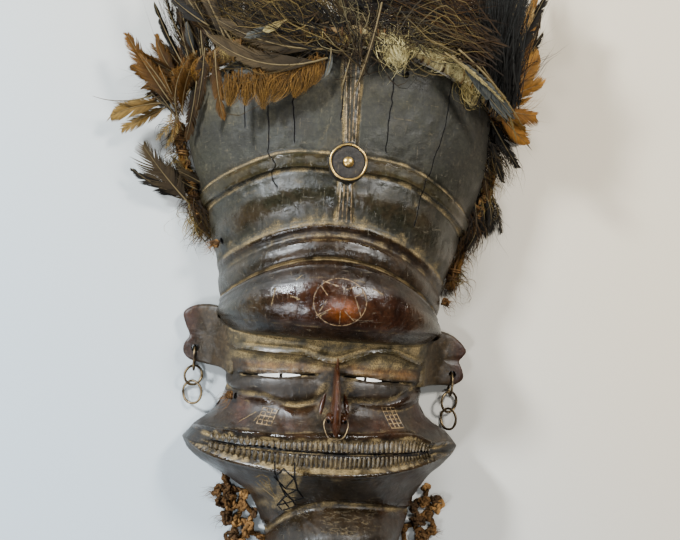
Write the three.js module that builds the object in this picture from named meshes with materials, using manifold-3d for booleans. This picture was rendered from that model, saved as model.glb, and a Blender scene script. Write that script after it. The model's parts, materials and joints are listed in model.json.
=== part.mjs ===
// A chihongo mask: a carved wooden face with a tall flaring coiffure, lying on its back rim
// with the face up. Ears, nose, bands and mouth are carved in the one shell. Metal rings hang
// from the ears and the nose, a wire ring and a tack mark the boss on the coiffure, a crown of
// feathers is bound along the coiffure's edge, and knotted fibre netting edges the chin.
//
// Millimetres. X runs across the face, Y from chin to crown, Z out of the face.
// While it is modelled, Y = 0 is the line of the mouth and Z = 0 is the plane of the back rim.

import * as THREE from "three";
import { mergeVertices } from "three/addons/utils/BufferGeometryUtils.js";
import Module from "manifold-3d";

const wasm = await Module();
wasm.setup();

// Driving dimensions of the carved shell
const CHIN_Y = -105;
const CROWN_Y = 293;
const WALL = 8;
const FLOOR_WALL = 9;
const GAP = 0.35; // between pieces that touch in the real thing
const BAND_DROP = 36; // how far the bands fall from the centre line to the sides
const CROWN_DROP = 31;
const LEAN = 0.04; // the carver's bands run a little lower on the right
const CHIN_SWERVE = 9; // how far the chin sits to the right of the middle
const CHIN_FALL = { [-1]: 32, 1: 12 }; // how far the crease over the chin falls to the left and to the right
const CORNER_TUCK = 0.35; // how far the sides turn back in behind the corners of the mouth

// Heights that the carving turns on, along the centre line
const BROW_Y = 66;
const EYE_Y = 55.5;
const EYE_X = 38;
const CHEEK_Y = 36;
const MOUTH_Y = 4;
const MOUTH_HALF = 105.5;
const LIP_HALF = 12.5;
const CHIN_CREASE_Y = -39.5;
const BULGE_LOW = 83;
const BULGE_HIGH = 139.4;
const LOW_BAND_TOP = 167;
const HIGH_BAND_LOW = 200.6;
const HIGH_BAND_TOP = 213.4;
const BOSS_Y = 210;

// Rims of the parts that stand free of the shell
const EARS = { [-1]: { x: 113, y: 78.5 }, 1: { x: 112.5, y: 70 } }; // tip and middle height of each ear
const EAR_BACK = 3.5;
const EAR_THICK = 8;
const EAR_BEVEL = 2;
const EAR_HOLE = 2.8;
const NOSE_X = 4; // the nose stands a little to the right of the middle
const NOSE_TOP = 68;
const NOSE_TIP = 27.5;
const NOSE_BACK = 57;
const BOSS_RADIUS = 14.6;
const BOSS_TOP = 88.5;

// Holes for cords: along the open crown by angle, and in the sides by row and angle
const HOLE_RADIUS = 2.4;
const CROWN_HOLE_ROW = CROWN_Y - 6;
const CROWN_HOLES = [-70, -46, -19, 19, 46, 70];
const SIDE_HOLES = { left_temple: [178, -68], left_cheek: [36, -61], right_temple: [154, 74] };

// Bindings and bundles along the coiffure's sides
const SIDE_BINDING = 4.5;
const SIDE_BINDING_ROWS = { [-1]: [188, 272], 1: [166, 272] };
const BUNDLE_LOW = 12;
const KNOT_RADIUS = 4;

// Wire
const RING_WIRE = 0.95;
const NOSE_WIRE = 0.8;
const LINK_WIRE = 1;

// Stations of the shell: height, half width, depth and bluntness of the outside, then the
// depth of the hollow. A bluntness of 1 is a half ellipse, less is boxier, more is pointed.
const STATIONS = [
  [-105, 24, 0, 0.8, -18],
  [-100, 34, 34, 0.8, -8],
  [-92, 43, 58, 0.82, 10],
  [-80, 50, 73, 0.85, 40],
  [-66, 54, 79, 0.88, 52],
  [-55, 57, 77, 0.9, 50],
  [-45, 62, 62, 0.95, 44],
  [-39.5, 66, 55, 1.0, 43],
  [-34, 72, 59, 1.05, 45],
  [-22, 86, 73, 1.3, 56],
  [-10, 100, 85, 1.7, 68],
  [2, 105.5, 86, 1.9, 72],
  [12, 99, 84, 1.7, 70],
  [20, 88, 77, 1.25, 64],
  [28, 80, 69, 0.92, 57],
  [38, 77, 63, 0.8, 52],
  [52, 77, 63, 0.75, 52],
  [66, 79, 66, 0.75, 55],
  [83, 81, 74, 0.8, 62],
  [100, 82, 76, 0.88, 64],
  [120, 83, 77, 0.9, 66],
  [139, 84, 78, 0.92, 67],
  [155, 87, 78, 0.94, 68],
  [175, 91.5, 80, 0.95, 71],
  [195, 98.5, 82, 0.95, 73],
  [217, 106, 83, 0.95, 74],
  [240, 113, 84, 0.95, 75],
  [262, 119, 84, 0.95, 75],
  [293, 121, 84, 0.95, 75],
];
const [HALF_WIDTH, DEPTH, BLUNT, HOLLOW] = [1, 2, 3, 4];

// Ease from 0 to 1 as x goes from a to b.
function ramp(a, b, x) {
  const t = Math.min(1, Math.max(0, (x - a) / (b - a)));
  return t * t * (3 - 2 * t);
}

// A smooth hump of height 1 at the centre, gone at the half width.
function hump(x, centre, half) {
  const t = Math.min(1, Math.abs(x - centre) / half);
  return (1 - t * t) ** 2;
}

// A round roll, as a half ellipse of height 1.
function roll(x, centre, half) {
  const t = (x - centre) / half;
  return Math.abs(t) < 1 ? Math.sqrt(1 - t * t) : 0;
}

// A smooth curve through one column of the stations, with no overshoot between them.
function station(column, v) {
  const last = STATIONS.length - 1;
  const height = (i) => STATIONS[i][0];
  const value = (i) => STATIONS[i][column];
  const slope = (i) => (value(i + 1) - value(i)) / (height(i + 1) - height(i));
  const tangent = (i) => {
    if (i === 0) return slope(0);
    if (i === last) return slope(last - 1);
    const a = slope(i - 1);
    const b = slope(i);
    return a * b <= 0 ? 0 : (2 * a * b) / (a + b);
  };
  let i = 0;
  while (i < last - 1 && v > height(i + 1)) i += 1;
  const span = height(i + 1) - height(i);
  const t = Math.min(1, Math.max(0, (v - height(i)) / span));
  return (
    value(i) * (1 + 2 * t) * (1 - t) ** 2 +
    value(i + 1) * t * t * (3 - 2 * t) +
    span * (tangent(i) * t * (1 - t) ** 2 - tangent(i + 1) * t * t * (1 - t))
  );
}

// How far a row falls from the centre line to its ends, and how much it leans.
const drop = (v) =>
  BAND_DROP * ramp(84, 138, v) - (BAND_DROP - CROWN_DROP) * ramp(240, CROWN_Y, v);
const lean = (v) =>
  LEAN * (ramp(70, 110, v) - 0.5 * ramp(240, CROWN_Y, v)) - 0.018 * (1 - ramp(10, 45, v));

const swerve = (v) => CHIN_SWERVE * ramp(-5, -55, v);

// How far the rows round the crease over the chin fall away from the middle.
const chinFall = (v, across) =>
  CHIN_FALL[across < 0 ? -1 : 1] * across ** 2 * ramp(-8, -38, v) * ramp(CHIN_Y, -70, v);

// A point of the shell before its relief: a row v and an angle from -90 to 90 degrees across it.
function shellPoint(v, angle, inward, depth, blunt) {
  const across = Math.sin(angle * (1 + CORNER_TUCK * hump(v, MOUTH_Y, 26)));
  const low = v - chinFall(v, across);
  const x = (station(HALF_WIDTH, low) - inward) * across;
  const y = low - drop(v) * across * across - lean(v) * x;
  return new THREE.Vector3(x + swerve(low), y, Math.max(0, depth) * Math.abs(Math.cos(angle)) ** blunt);
}

const outerBase = (v, angle) => shellPoint(v, angle, 0, station(DEPTH, v), station(BLUNT, v));

// Height of the mouth's upper or lower rim above its middle line: full for most of the width,
// closing to a point at each corner.
const lipSpread = (x) => LIP_HALF * Math.max(0, 1 - Math.abs(x / MOUTH_HALF) ** 5) ** 0.75;

// The carving that stands above or sinks below the shell.
function relief(v, angle, x) {
  const side = Math.abs(x);
  const facing = Math.cos(angle);
  let height = 0;
  // Upper band of the coiffure, with a groove along each edge
  const onBand = ramp(HIGH_BAND_LOW - 1, HIGH_BAND_LOW + 1.5, v);
  height += 2.6 * (onBand - ramp(HIGH_BAND_TOP - 1.5, HIGH_BAND_TOP + 1, v));
  height -= 0.9 * (hump(v, HIGH_BAND_LOW - 2, 2.4) + hump(v, HIGH_BAND_TOP + 2, 2.4));
  // Lower band: a lip, a cove, then a thick roll above the forehead
  height += 3 * hump(v, LOW_BAND_TOP - 1, 4) + 1.2 * hump(v, 153, 3);
  height += 6.5 * roll(v, 146.2, 6.8);
  height -= 1.6 * hump(v, BULGE_HIGH, 2.6);
  // Centre strap of the coiffure, and its round boss
  const strap = 6.5 + 4 * ramp(240, CROWN_Y, v);
  height += 1.3 * ramp(strap + 1, strap - 1, side) * ramp(LOW_BAND_TOP, LOW_BAND_TOP + 4, v);
  height += 1.8 * ramp(14.5, 12.5, Math.hypot(x, v - BOSS_Y));
  // Bulging forehead
  const middle = (BULGE_LOW + BULGE_HIGH) / 2;
  const bulge = (v - middle) / ((BULGE_HIGH - BULGE_LOW) / 2);
  if (Math.abs(bulge) < 1) height += 22 * (1 - bulge * bulge) ** 0.62 * (0.3 + 0.7 * facing);
  // Brows, eye sockets and the swollen closed lids
  const brow = BROW_Y + 8 * Math.sin(Math.PI * Math.min(1, side / 76));
  height += 2.8 * hump(v, brow, 3.4) * ramp(78, 60, side);
  height -= 2.2 * hump(v, brow - 6, 6) * ramp(76, 60, side) * ramp(4, 14, side);
  const lid = Math.hypot((side - EYE_X) / 34, (v - 49.5) / 14);
  if (lid < 1) height += 5.5 * (1 - lid * lid) ** 0.8;
  height -= 1.2 * hump(v, EYE_Y, 2.6) * ramp(27, 20, Math.abs(side - EYE_X));
  // Crease above the cheeks
  const cheek = CHEEK_Y - 6 * ramp(76, 20, side);
  height -= 1.6 * hump(v, cheek, 3) * ramp(10, 18, side);
  // Mouth: a raised rim round a sunk almond that holds two rows of filed teeth
  const inMouth = (v - MOUTH_Y) / Math.max(2, lipSpread(x));
  const corner = ramp(MOUTH_HALF, MOUTH_HALF - 12, side);
  height += 2.6 * hump(Math.abs(inMouth), 1, 0.28) * corner;
  height -= 2.4 * ramp(0.95, 0.72, Math.abs(inMouth)) * corner;
  height += 1.8 * (hump(inMouth, 0.42, 0.36) + hump(inMouth, -0.4, 0.34)) * corner;
  height -= 1.6 * hump(inMouth, 0.02, 0.14) * corner;
  // Crease under the lower lip
  height -= 1.4 * hump(v, CHIN_CREASE_Y, 3);
  return height * ramp(CHIN_Y, CHIN_Y + 8, v);
}

// The finished outside: the relief stands along the shell's own normal, and the rim stays in its plane.
function outerPoint(v, angle) {
  const step = 1e-3;
  const edge = Math.PI / 2 - 0.02;
  const at = Math.max(-edge, Math.min(edge, angle));
  const here = outerBase(v, angle);
  const alongRow = outerBase(v, at + step).sub(outerBase(v, at - step));
  const upRow = outerBase(v + 0.5, at).sub(outerBase(v - 0.5, at));
  const normal = alongRow.cross(upRow).normalize();
  const raised = here.clone().addScaledVector(normal, relief(v, angle, here.x - swerve(v)));
  const settled = ramp(0, 6, here.z);
  return new THREE.Vector3(
    here.x + (raised.x - here.x) * (0.4 + 0.6 * settled),
    here.y + (raised.y - here.y) * settled,
    Math.max(0, here.z + (raised.z - here.z) * settled),
  );
}

const innerPoint = (v, angle) =>
  shellPoint(v, angle, WALL, station(HOLLOW, v), station(BLUNT, v) + 0.06);

// Heights of the rows of a surface, no further apart than the step, and closer at each turn of the carving.
function rowsBetween(low, high, step, turns) {
  const kept = [low, ...turns.filter((t) => t > low + 1 && t < high - 1), high];
  return kept.flatMap((start, i) => {
    if (i === kept.length - 1) return [start];
    const parts = Math.ceil((kept[i + 1] - start) / step);
    return Array.from({ length: parts }, (_, k) => start + ((kept[i + 1] - start) * k) / parts);
  });
}

// Angles across the shell, closer together over the middle of the face.
const anglesAcross = (count) =>
  Array.from({ length: count + 1 }, (_, k) => {
    const t = (2 * k) / count - 1;
    return (Math.PI / 2) * (0.8 * t + 0.2 * t ** 3);
  });

// Triangles between two rows of vertices that run the same way, whatever their counts.
function bridge(triangles, lower, upper) {
  let [i, j] = [0, 0];
  while (i < lower.length - 1 || j < upper.length - 1) {
    const nextLower = (i + 1) / (lower.length - 1);
    const nextUpper = (j + 1) / (upper.length - 1);
    if (j === upper.length - 1 || (i < lower.length - 1 && nextLower <= nextUpper)) {
      triangles.push(lower[i], lower[i + 1], upper[j]);
      i += 1;
    } else {
      triangles.push(lower[i], upper[j + 1], upper[j]);
      j += 1;
    }
  }
}

// The hollow shell: an outer and an inner surface, joined along the flat back rim and round the open crown.
function carvedShell() {
  const chinTurns = [-100, -92, -66, -45, -39.5, -34, -30, -26, -22, -17];
  const faceTurns = [-12, -9, -4, 2, 8, 12.5, 16, 24, 32, 38, 46, 58, 66, 74, 83, 85, 90];
  const coiffureTurns = [131, 137, 140, 143, 146, 149, 153, 158, 164, 167, 171, 199, 202, 212, 215];
  const turns = [...chinTurns, ...faceTurns, ...coiffureTurns];
  const outerRows = rowsBetween(CHIN_Y, CROWN_Y, 16, turns);
  const innerRows = rowsBetween(CHIN_Y + FLOOR_WALL, CROWN_Y, 24, [-80, -45, -22, 2, 20, 38, 83]);
  const outerAngles = anglesAcross(32);
  const innerAngles = anglesAcross(16);
  const positions = [];
  const grid = (rows, angles, point) =>
    rows.map((v) => angles.map((angle) => positions.push(...point(v, angle)) / 3 - 1));
  const outer = grid(outerRows, outerAngles, outerPoint);
  const inner = grid(innerRows, innerAngles, innerPoint);
  const triangles = [];
  for (let i = 0; i < outer.length - 1; i += 1) bridge(triangles, outer[i], outer[i + 1]);
  for (let i = 0; i < inner.length - 1; i += 1) bridge(triangles, inner[i + 1], inner[i]);
  const column = (rows, k) => rows.map((row) => row.at(k));
  bridge(triangles, inner[0], outer[0]);
  bridge(triangles, outer.at(-1), inner.at(-1));
  bridge(triangles, column(outer, 0), column(inner, 0));
  bridge(triangles, column(inner, -1), column(outer, -1));
  return solidFrom(positions, triangles);
}

function solidFrom(positions, triangles) {
  const mesh = new wasm.Mesh({
    numProp: 3,
    vertProperties: new Float32Array(positions),
    triVerts: new Uint32Array(triangles),
  });
  mesh.merge();
  return new wasm.Manifold(mesh);
}

// A three.js geometry as a solid, and a solid as a geometry.
function solidOf(geometry, matrix = new THREE.Matrix4()) {
  const bare = geometry.clone().deleteAttribute("normal").deleteAttribute("uv").applyMatrix4(matrix);
  const merged = mergeVertices(bare, 1e-3);
  return solidFrom(merged.attributes.position.array, merged.index.array);
}

function geometryOf(solid) {
  const { numProp, vertProperties, triVerts } = solid.getMesh();
  const interleaved = new THREE.InterleavedBuffer(vertProperties, numProp);
  const geometry = new THREE.BufferGeometry();
  geometry.setAttribute("position", new THREE.InterleavedBufferAttribute(interleaved, 3, 0));
  geometry.setIndex(new THREE.BufferAttribute(triVerts, 1));
  return geometry.toNonIndexed();
}

// A closed body along a path: at each point an ellipse of the given half sizes, lying along the
// wide direction, with pointed or blunt ends.
function blade(path, halfWidths, halfThicknesses, wide, sides = 8) {
  const curve = new THREE.CatmullRomCurve3(path);
  const count = halfWidths.length - 1;
  const positions = [];
  const rings = halfWidths.map((halfWidth, i) => {
    const centre = curve.getPoint(i / count);
    const along = curve.getTangent(i / count);
    const thin = new THREE.Vector3().crossVectors(along, wide).normalize();
    const across = new THREE.Vector3().crossVectors(thin, along).normalize();
    return Array.from({ length: sides }, (_, k) => {
      const turn = (2 * Math.PI * k) / sides;
      const point = centre
        .clone()
        .addScaledVector(across, halfWidth * Math.cos(turn))
        .addScaledVector(thin, halfThicknesses[i] * Math.sin(turn));
      return positions.push(...point) / 3 - 1;
    });
  });
  const ends = [0, 1].map((t) => positions.push(...curve.getPoint(t)) / 3 - 1);
  const triangles = [];
  for (let i = 0; i < count; i += 1) {
    for (let k = 0; k < sides; k += 1) {
      const n = (k + 1) % sides;
      triangles.push(rings[i][k], rings[i + 1][k], rings[i][n]);
      triangles.push(rings[i][n], rings[i + 1][k], rings[i + 1][n]);
    }
  }
  for (let k = 0; k < sides; k += 1) {
    const n = (k + 1) % sides;
    triangles.push(ends[0], rings[0][k], rings[0][n]);
    triangles.push(ends[1], rings[count][n], rings[count][k]);
  }
  const solid = solidFrom(positions, triangles);
  return solid.volume() < 0 ? solidFrom(positions, triangles.reverse()) : solid;
}

const moved = (x, y, z) => new THREE.Matrix4().makeTranslation(x, y, z);
const point = (x, y, z = 0) => new THREE.Vector3(x, y, z);
const radians = THREE.MathUtils.degToRad;

// The outward normal of the shell at a row and angle.
function shellNormal(v, angle) {
  const alongRow = outerBase(v, angle + 0.01).sub(outerBase(v, angle - 0.01));
  const upRow = outerBase(v + 0.5, angle).sub(outerBase(v - 0.5, angle));
  return alongRow.cross(upRow).normalize();
}

// Where a cord hole passes through an ear.
const earHole = (side) => [side * (EARS[side].x - 11), EARS[side].y - 10.5];

// An ear: a thick flap of two lobes with a notch between them. Side is -1 on the left, 1 on the right.
function ear(side) {
  const at = (inward, up) => new THREE.Vector2(side * (EARS[side].x - inward), EARS[side].y + up);
  const outline = new THREE.Shape();
  outline.moveTo(...at(36, 23));
  outline.splineThru([at(22, 23.5), at(9, 24), at(0.5, 18), at(1, 11), at(6, 0)]);
  outline.splineThru([at(2, -8), at(2.5, -13), at(8, -19), at(19, -21.5), at(36, -23)]);
  outline.closePath();
  const flap = new THREE.ExtrudeGeometry(outline, {
    depth: EAR_THICK - 2 * EAR_BEVEL,
    curveSegments: 2,
    bevelThickness: EAR_BEVEL,
    bevelSize: EAR_BEVEL,
    bevelOffset: -EAR_BEVEL,
    bevelSegments: 1,
  });
  const hole = new THREE.CylinderGeometry(EAR_HOLE, EAR_HOLE, 40, 10).rotateX(Math.PI / 2);
  return solidOf(flap, moved(0, 0, EAR_BACK + EAR_BEVEL)).subtract(solidOf(hole, moved(...earHole(side), 0)));
}

// The blade of the nose, narrow between the eyes and widening to two small wings.
function nose() {
  const halfWidths = [1.8, 2, 2.4, 3, 3.9, 4.9, 5.2];
  const ridges = [69, 72, 77, 82.5, 87.5, 91.5, 91];
  const step = (NOSE_TOP - NOSE_TIP) / (halfWidths.length - 1);
  const path = ridges.map((ridge, i) => point(NOSE_X, NOSE_TOP - i * step, (ridge + NOSE_BACK) / 2));
  const thick = ridges.map((ridge) => (ridge - NOSE_BACK) / 2);
  const wing = new THREE.SphereGeometry(1, 10, 7).scale(4, 4.6, 8);
  return [-1, 1].reduce(
    (solid, side) => solid.add(solidOf(wing, moved(NOSE_X + side * 5.6, NOSE_TIP + 3, 79))),
    blade(path, halfWidths, thick, point(1, 0, 0), 10),
  );
}

// A hoop of round wire, its height drawn out or squeezed without thinning the wire.
function hoop(radius, wire, stretch = 1) {
  const geometry = new THREE.TorusGeometry(radius, wire, 5, 16);
  const vertices = geometry.attributes.position;
  for (let i = 0; i < vertices.count; i += 1) {
    const toMiddle = radius / Math.hypot(vertices.getX(i), vertices.getY(i));
    vertices.setY(i, vertices.getY(i) * (1 + (stretch - 1) * toMiddle));
  }
  return geometry;
}

// Where the nose ring hangs: through the wings, with its foot forward over the upper lip.
const NOSE_RING_PLACE = moved(NOSE_X, 24.2, 86.4).multiply(new THREE.Matrix4().makeRotationX(radians(-22)));
const noseRing = (wire) => solidOf(hoop(8.6, wire, 1.12), NOSE_RING_PLACE);

// A straight hole through the wall of the shell, along its normal.
function wallHole(v, angle, radius) {
  const centre = outerBase(v, angle);
  const turn = new THREE.Quaternion().setFromUnitVectors(point(0, 1, 0), shellNormal(v, angle));
  const bore = new THREE.CylinderGeometry(radius, radius, 30, 8);
  return solidOf(bore, new THREE.Matrix4().compose(centre, turn, point(1, 1, 1)));
}

// A slot right through the front of the shell.
const slot = (x, y, width, height) => solidOf(new THREE.BoxGeometry(width, height, 80), moved(x, y, 80));

function carvedMask() {
  const boss = new THREE.CylinderGeometry(BOSS_RADIUS, BOSS_RADIUS + 1, 8, 32).rotateX(Math.PI / 2);
  const tackBore = new THREE.CylinderGeometry(1.5, 1.5, 16, 8).rotateX(Math.PI / 2);
  const joined = [ear(-1), ear(1), nose(), solidOf(boss, moved(0, BOSS_Y, BOSS_TOP - 4))];
  const cut = [
    noseRing(NOSE_WIRE + GAP),
    solidOf(tackBore, moved(0, BOSS_Y, BOSS_TOP)),
    slot(-EYE_X, EYE_Y, 33, 2.4),
    slot(EYE_X, EYE_Y, 33, 2.4),
    slot(-39, MOUTH_Y, 38, 1.8),
    slot(31, MOUTH_Y, 13, 3.4),
    ...CROWN_HOLES.map((angle) => wallHole(CROWN_HOLE_ROW, radians(angle), HOLE_RADIUS)),
    ...Object.values(SIDE_HOLES).map(([v, angle]) => wallHole(v, radians(angle), HOLE_RADIUS)),
  ];
  const whole = joined.reduce((solid, more) => solid.add(more), carvedShell());
  return geometryOf(cut.reduce((solid, less) => solid.subtract(less), whole));
}

// A domed tack with a short shank.
function tack() {
  const shank = [[0, -5.5], [0.7, -5], [1.1, -4], [1.1, 0]];
  const dome = [[3.6, 0], [3.8, 0.5], [3, 1.6], [1.6, 2.3], [0, 2.5]];
  const profile = [...shank, ...dome].map(([r, y]) => new THREE.Vector2(r, y));
  return new THREE.LatheGeometry(profile, 12).rotateX(Math.PI / 2);
}

// Three links that hang from an ear: one through its hole, the others in turn below it.
// Each link has its radius, its stretch along Y, and how far it is turned about Y.
const LINKS = {
  [-1]: [[6.4, 1.42, 90], [7.5, 1, 32], [8.3, 1.06, -30]],
  1: [[6.4, 1.45, 90], [7.5, 1.1, 28], [7.6, 1.1, -52]],
};

function linkPlaces(side) {
  const [x, y] = earHole(side);
  const overlap = 2 * LINK_WIRE + 1.1;
  let top = y + 0.9 * EAR_HOLE - LINK_WIRE - GAP;
  return LINKS[side].map(([radius, stretch, turn]) => {
    const half = radius * stretch;
    const rest = Math.abs(Math.sin(radians(turn))) * radius + LINK_WIRE + 0.1;
    const place = { radius, stretch, turn: radians(turn), centre: point(x, top - half, Math.max(6, rest)) };
    top += overlap - 2 * half;
    return place;
  });
}

// A point near the crown's edge: outward is along the shell's normal, up is along Y.
function crownPoint(angle, outward, up) {
  const base = outerBase(CROWN_Y, angle);
  const normal = shellNormal(CROWN_Y, angle).setY(0).normalize();
  return base.addScaledVector(normal, outward).add(point(0, up));
}

// The roll of hide and fibre that the feathers are tied into, lying along the crown's edge.
function featherBinding() {
  const [thick, tall] = [8.5, 6.5];
  const angles = Array.from({ length: 25 }, (_, k) => radians(-78 + 6.5 * k));
  const path = angles.map((angle) => crownPoint(angle, -WALL / 2, tall + 1.2));
  const ends = (full) => angles.map((_, k) => full * (k === 0 || k === angles.length - 1 ? 0.6 : 1));
  return blade(path, ends(thick), ends(tall), point(0, 0, 1), 6);
}

// Where hide and fibre are bound along a side of the coiffure: just outside the rim, off the floor.
function sidePoint(side, v, outward) {
  const rim = outerBase(v, (side * Math.PI) / 2);
  return rim.add(point(side * outward, 0, SIDE_BINDING + 1));
}

function sideBinding(side) {
  const [low, high] = SIDE_BINDING_ROWS[side];
  const rows = Array.from({ length: 9 }, (_, k) => low + ((high - low) * k) / 8);
  const path = rows.map((v) => sidePoint(side, v, SIDE_BINDING + 2.2));
  const ends = rows.map((_, k) => SIDE_BINDING * (k === 0 || k === 8 ? 0.5 : 1));
  return geometryOf(blade(path, ends, ends, point(0, 0, 1), 6));
}

// Feather bundles of the crown: the angle round the crown where each is tied, the heading of its
// tip, how far the tip rises, its length and its half width.
const CROWN_BUNDLES = [
  [-87, 212, -2, 64, 10],
  [-84, 177, 2, 78, 12],
  [-77, 146, 0, 82, 15],
  [-63, 126, -6, 106, 20],
  [-44, 111, -12, 128, 22],
  [-22, 100, -18, 134, 24],
  [0, 90, -20, 136, 22],
  [22, 80, -18, 134, 24],
  [43, 67, -12, 128, 22],
  [60, 50, -8, 104, 19],
  [75, 27, -2, 68, 15],
  [83, -8, 2, 52, 13],
];

// Feather bundles tied along the sides: side, row, heading, length and half width.
const SIDE_BUNDLES = [
  [-1, 221, 152, 58, 12],
  [1, 236, 30, 48, 11],
  [1, 196, 52, 42, 9],
];

// A flat lens of feathers, widest past its middle, clear of the floor.
function featherBundle(root, heading, tipZ, start, length, half) {
  const direction = point(Math.cos(radians(heading)), Math.sin(radians(heading)));
  const path = [0, 0.5, 1].map((t) =>
    root.clone().setZ(root.z + (tipZ - root.z) * t).addScaledVector(direction, start + (length - start) * t),
  );
  const widths = [0.3, 0.62, 0.86, 1, 0.98, 0.8, 0.42].map((w) => w * half);
  const depths = [5, 7.5, 9, 10, 9.5, 7.5, 4];
  return geometryOf(blade(path, widths, depths, point(-direction.y, direction.x), 6));
}

function crownBundle([angle, heading, rise, length, half]) {
  const root = crownPoint(radians(angle), -WALL / 2, 7.5);
  root.z = Math.max(root.z, BUNDLE_LOW);
  const tipZ = Math.max(BUNDLE_LOW, root.z * 0.65 + rise + 6);
  return featherBundle(root, heading, tipZ, 17, length, half);
}

function sideBundle([side, v, heading, length, half]) {
  const root = sidePoint(side, v, 2 * SIDE_BINDING + 5).setZ(BUNDLE_LOW);
  return featherBundle(root, heading, BUNDLE_LOW, 4, length, half);
}

// The netting that edges the chin: a flat collar of knotted fibre with open meshes, lying
// round the rim from one corner of the mouth to the other.
function chinNet() {
  const [clear, meshes, thick] = [2.6, 11, 5];
  const side = [-28, -36, -46, -56, -68, -80, -92, -100, -104];
  const rimX = (way, v) => way * (station(HALF_WIDTH, v) + clear) + swerve(v);
  const rim = (way) => side.map((v) => point(rimX(way, v), v - clear / 2));
  const foot = [-16, 0, 16].map((x) => point(x + CHIN_SWERVE, CHIN_Y - clear));
  const edge = new THREE.CatmullRomCurve3([...rim(-1), ...foot, ...rim(1).reverse()]);
  // A point of the collar: how far round it, and how far out from the rim
  const at = (round, out) => {
    const along = edge.getTangentAt(round);
    const centre = edge.getPointAt(round);
    return new THREE.Vector2(centre.x + along.y * out, centre.y - along.x * out);
  };
  const width = (round) => 30 + 24 * Math.sin(Math.PI * round) ** 2;
  const rounds = Array.from({ length: 2 * meshes + 1 }, (_, k) => k / (2 * meshes));
  const outerEdge = rounds.map((round) => at(round, width(round)));
  const innerEdge = rounds.map((round) => at(round, 0)).reverse();
  const outline = new THREE.Shape([...innerEdge, ...outerEdge]);
  for (let row = 0; row < 2; row += 1) {
    for (let k = 0; k < meshes - row; k += 1) {
      const round = (k + 0.5 + row / 2) / meshes;
      const out = (0.3 + 0.38 * row) * width(round);
      const [halfRound, halfOut] = [0.34 / meshes, 0.2 * width(round)];
      const corners = [[-1, 0], [0, 1], [1, 0], [0, -1]];
      const hole = corners.map(([a, b]) => at(round + a * halfRound, out + b * halfOut));
      outline.holes.push(new THREE.Path(hole));
    }
  }
  return new THREE.ExtrudeGeometry(outline, { depth: thick, bevelEnabled: false });
}

const FINISHES = {
  wood: { color: 0x3a2a20, roughness: 0.45, metalness: 0 },
  brass: { color: 0x9c7a3c, roughness: 0.35, metalness: 0.9 },
  iron: { color: 0x5a4a38, roughness: 0.5, metalness: 0.8 },
  feather: { color: 0x3b2c22, roughness: 0.7, metalness: 0 },
  hide: { color: 0x9a8a5e, roughness: 0.9, metalness: 0 },
  fibre: { color: 0x5d4630, roughness: 0.95, metalness: 0 },
};

function piece(name, geometry, finish) {
  const mesh = new THREE.Mesh(geometry, new THREE.MeshStandardMaterial(FINISHES[finish]));
  mesh.name = name;
  return mesh;
}

const SIDES = Object.entries({ left: -1, right: 1 });
const mask = new THREE.Group();
mask.add(piece("carved_mask", carvedMask(), "wood"));

const bossRing = piece("boss_wire_ring", hoop(12.6, RING_WIRE), "brass");
bossRing.position.set(0, BOSS_Y, BOSS_TOP + RING_WIRE + GAP);
const bossTack = piece("boss_tack", tack(), "brass");
bossTack.position.set(0, BOSS_Y, BOSS_TOP + GAP);
mask.add(bossRing, bossTack, piece("nose_ring", geometryOf(noseRing(NOSE_WIRE)), "iron"));

for (const [word, side] of SIDES) {
  linkPlaces(side).forEach(({ radius, stretch, turn, centre }, i) => {
    const link = piece(`${word}_ear_link_${i + 1}`, hoop(radius, LINK_WIRE, stretch), "iron");
    link.position.copy(centre);
    link.rotation.y = turn;
    mask.add(link);
  });
}

for (const [place, [v, angle]] of Object.entries(SIDE_HOLES)) {
  const knot = piece(`${place}_knot`, new THREE.IcosahedronGeometry(KNOT_RADIUS), "fibre");
  const [hole, normal] = [outerBase(v, radians(angle)), shellNormal(v, radians(angle))];
  knot.position.copy(hole).addScaledVector(normal, KNOT_RADIUS + 2.2);
  mask.add(knot);
}

mask.add(piece("feather_binding", geometryOf(featherBinding()), "hide"));
for (const [word, side] of SIDES) mask.add(piece(`${word}_side_binding`, sideBinding(side), "fibre"));
const crownFeathers = CROWN_BUNDLES.map(crownBundle);
const sideFeathers = SIDE_BUNDLES.map(sideBundle);
crownFeathers.forEach((bundle, i) => mask.add(piece(`crown_feathers_${i + 1}`, bundle, "feather")));
sideFeathers.forEach((bundle, i) => mask.add(piece(`side_feathers_${i + 1}`, bundle, "feather")));

const net = piece("chin_net", chinNet(), "fibre");
net.position.z = 1;
mask.add(net);

// The origin is on the floor, below the middle of the whole.
const centre = new THREE.Box3().setFromObject(mask, true).getCenter(new THREE.Vector3());
mask.position.set(-centre.x, -centre.y, 0);

export default mask;
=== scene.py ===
"""The looks of a chihongo mask: a dark, polished wooden face with a flaring coiffure, its wire
and brass trim, a crown of feathers, and knotted netting round the chin. It lies on its back rim.

Shapes are worked out in millimetres in the carver's frame: X across the face, Y up from the
line of the mouth, Z out of the face from the plane of the back rim. place() turns them into
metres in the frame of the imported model.
"""
import json
import math

import bpy
import numpy as np
from mathutils import Matrix, Vector

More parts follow.
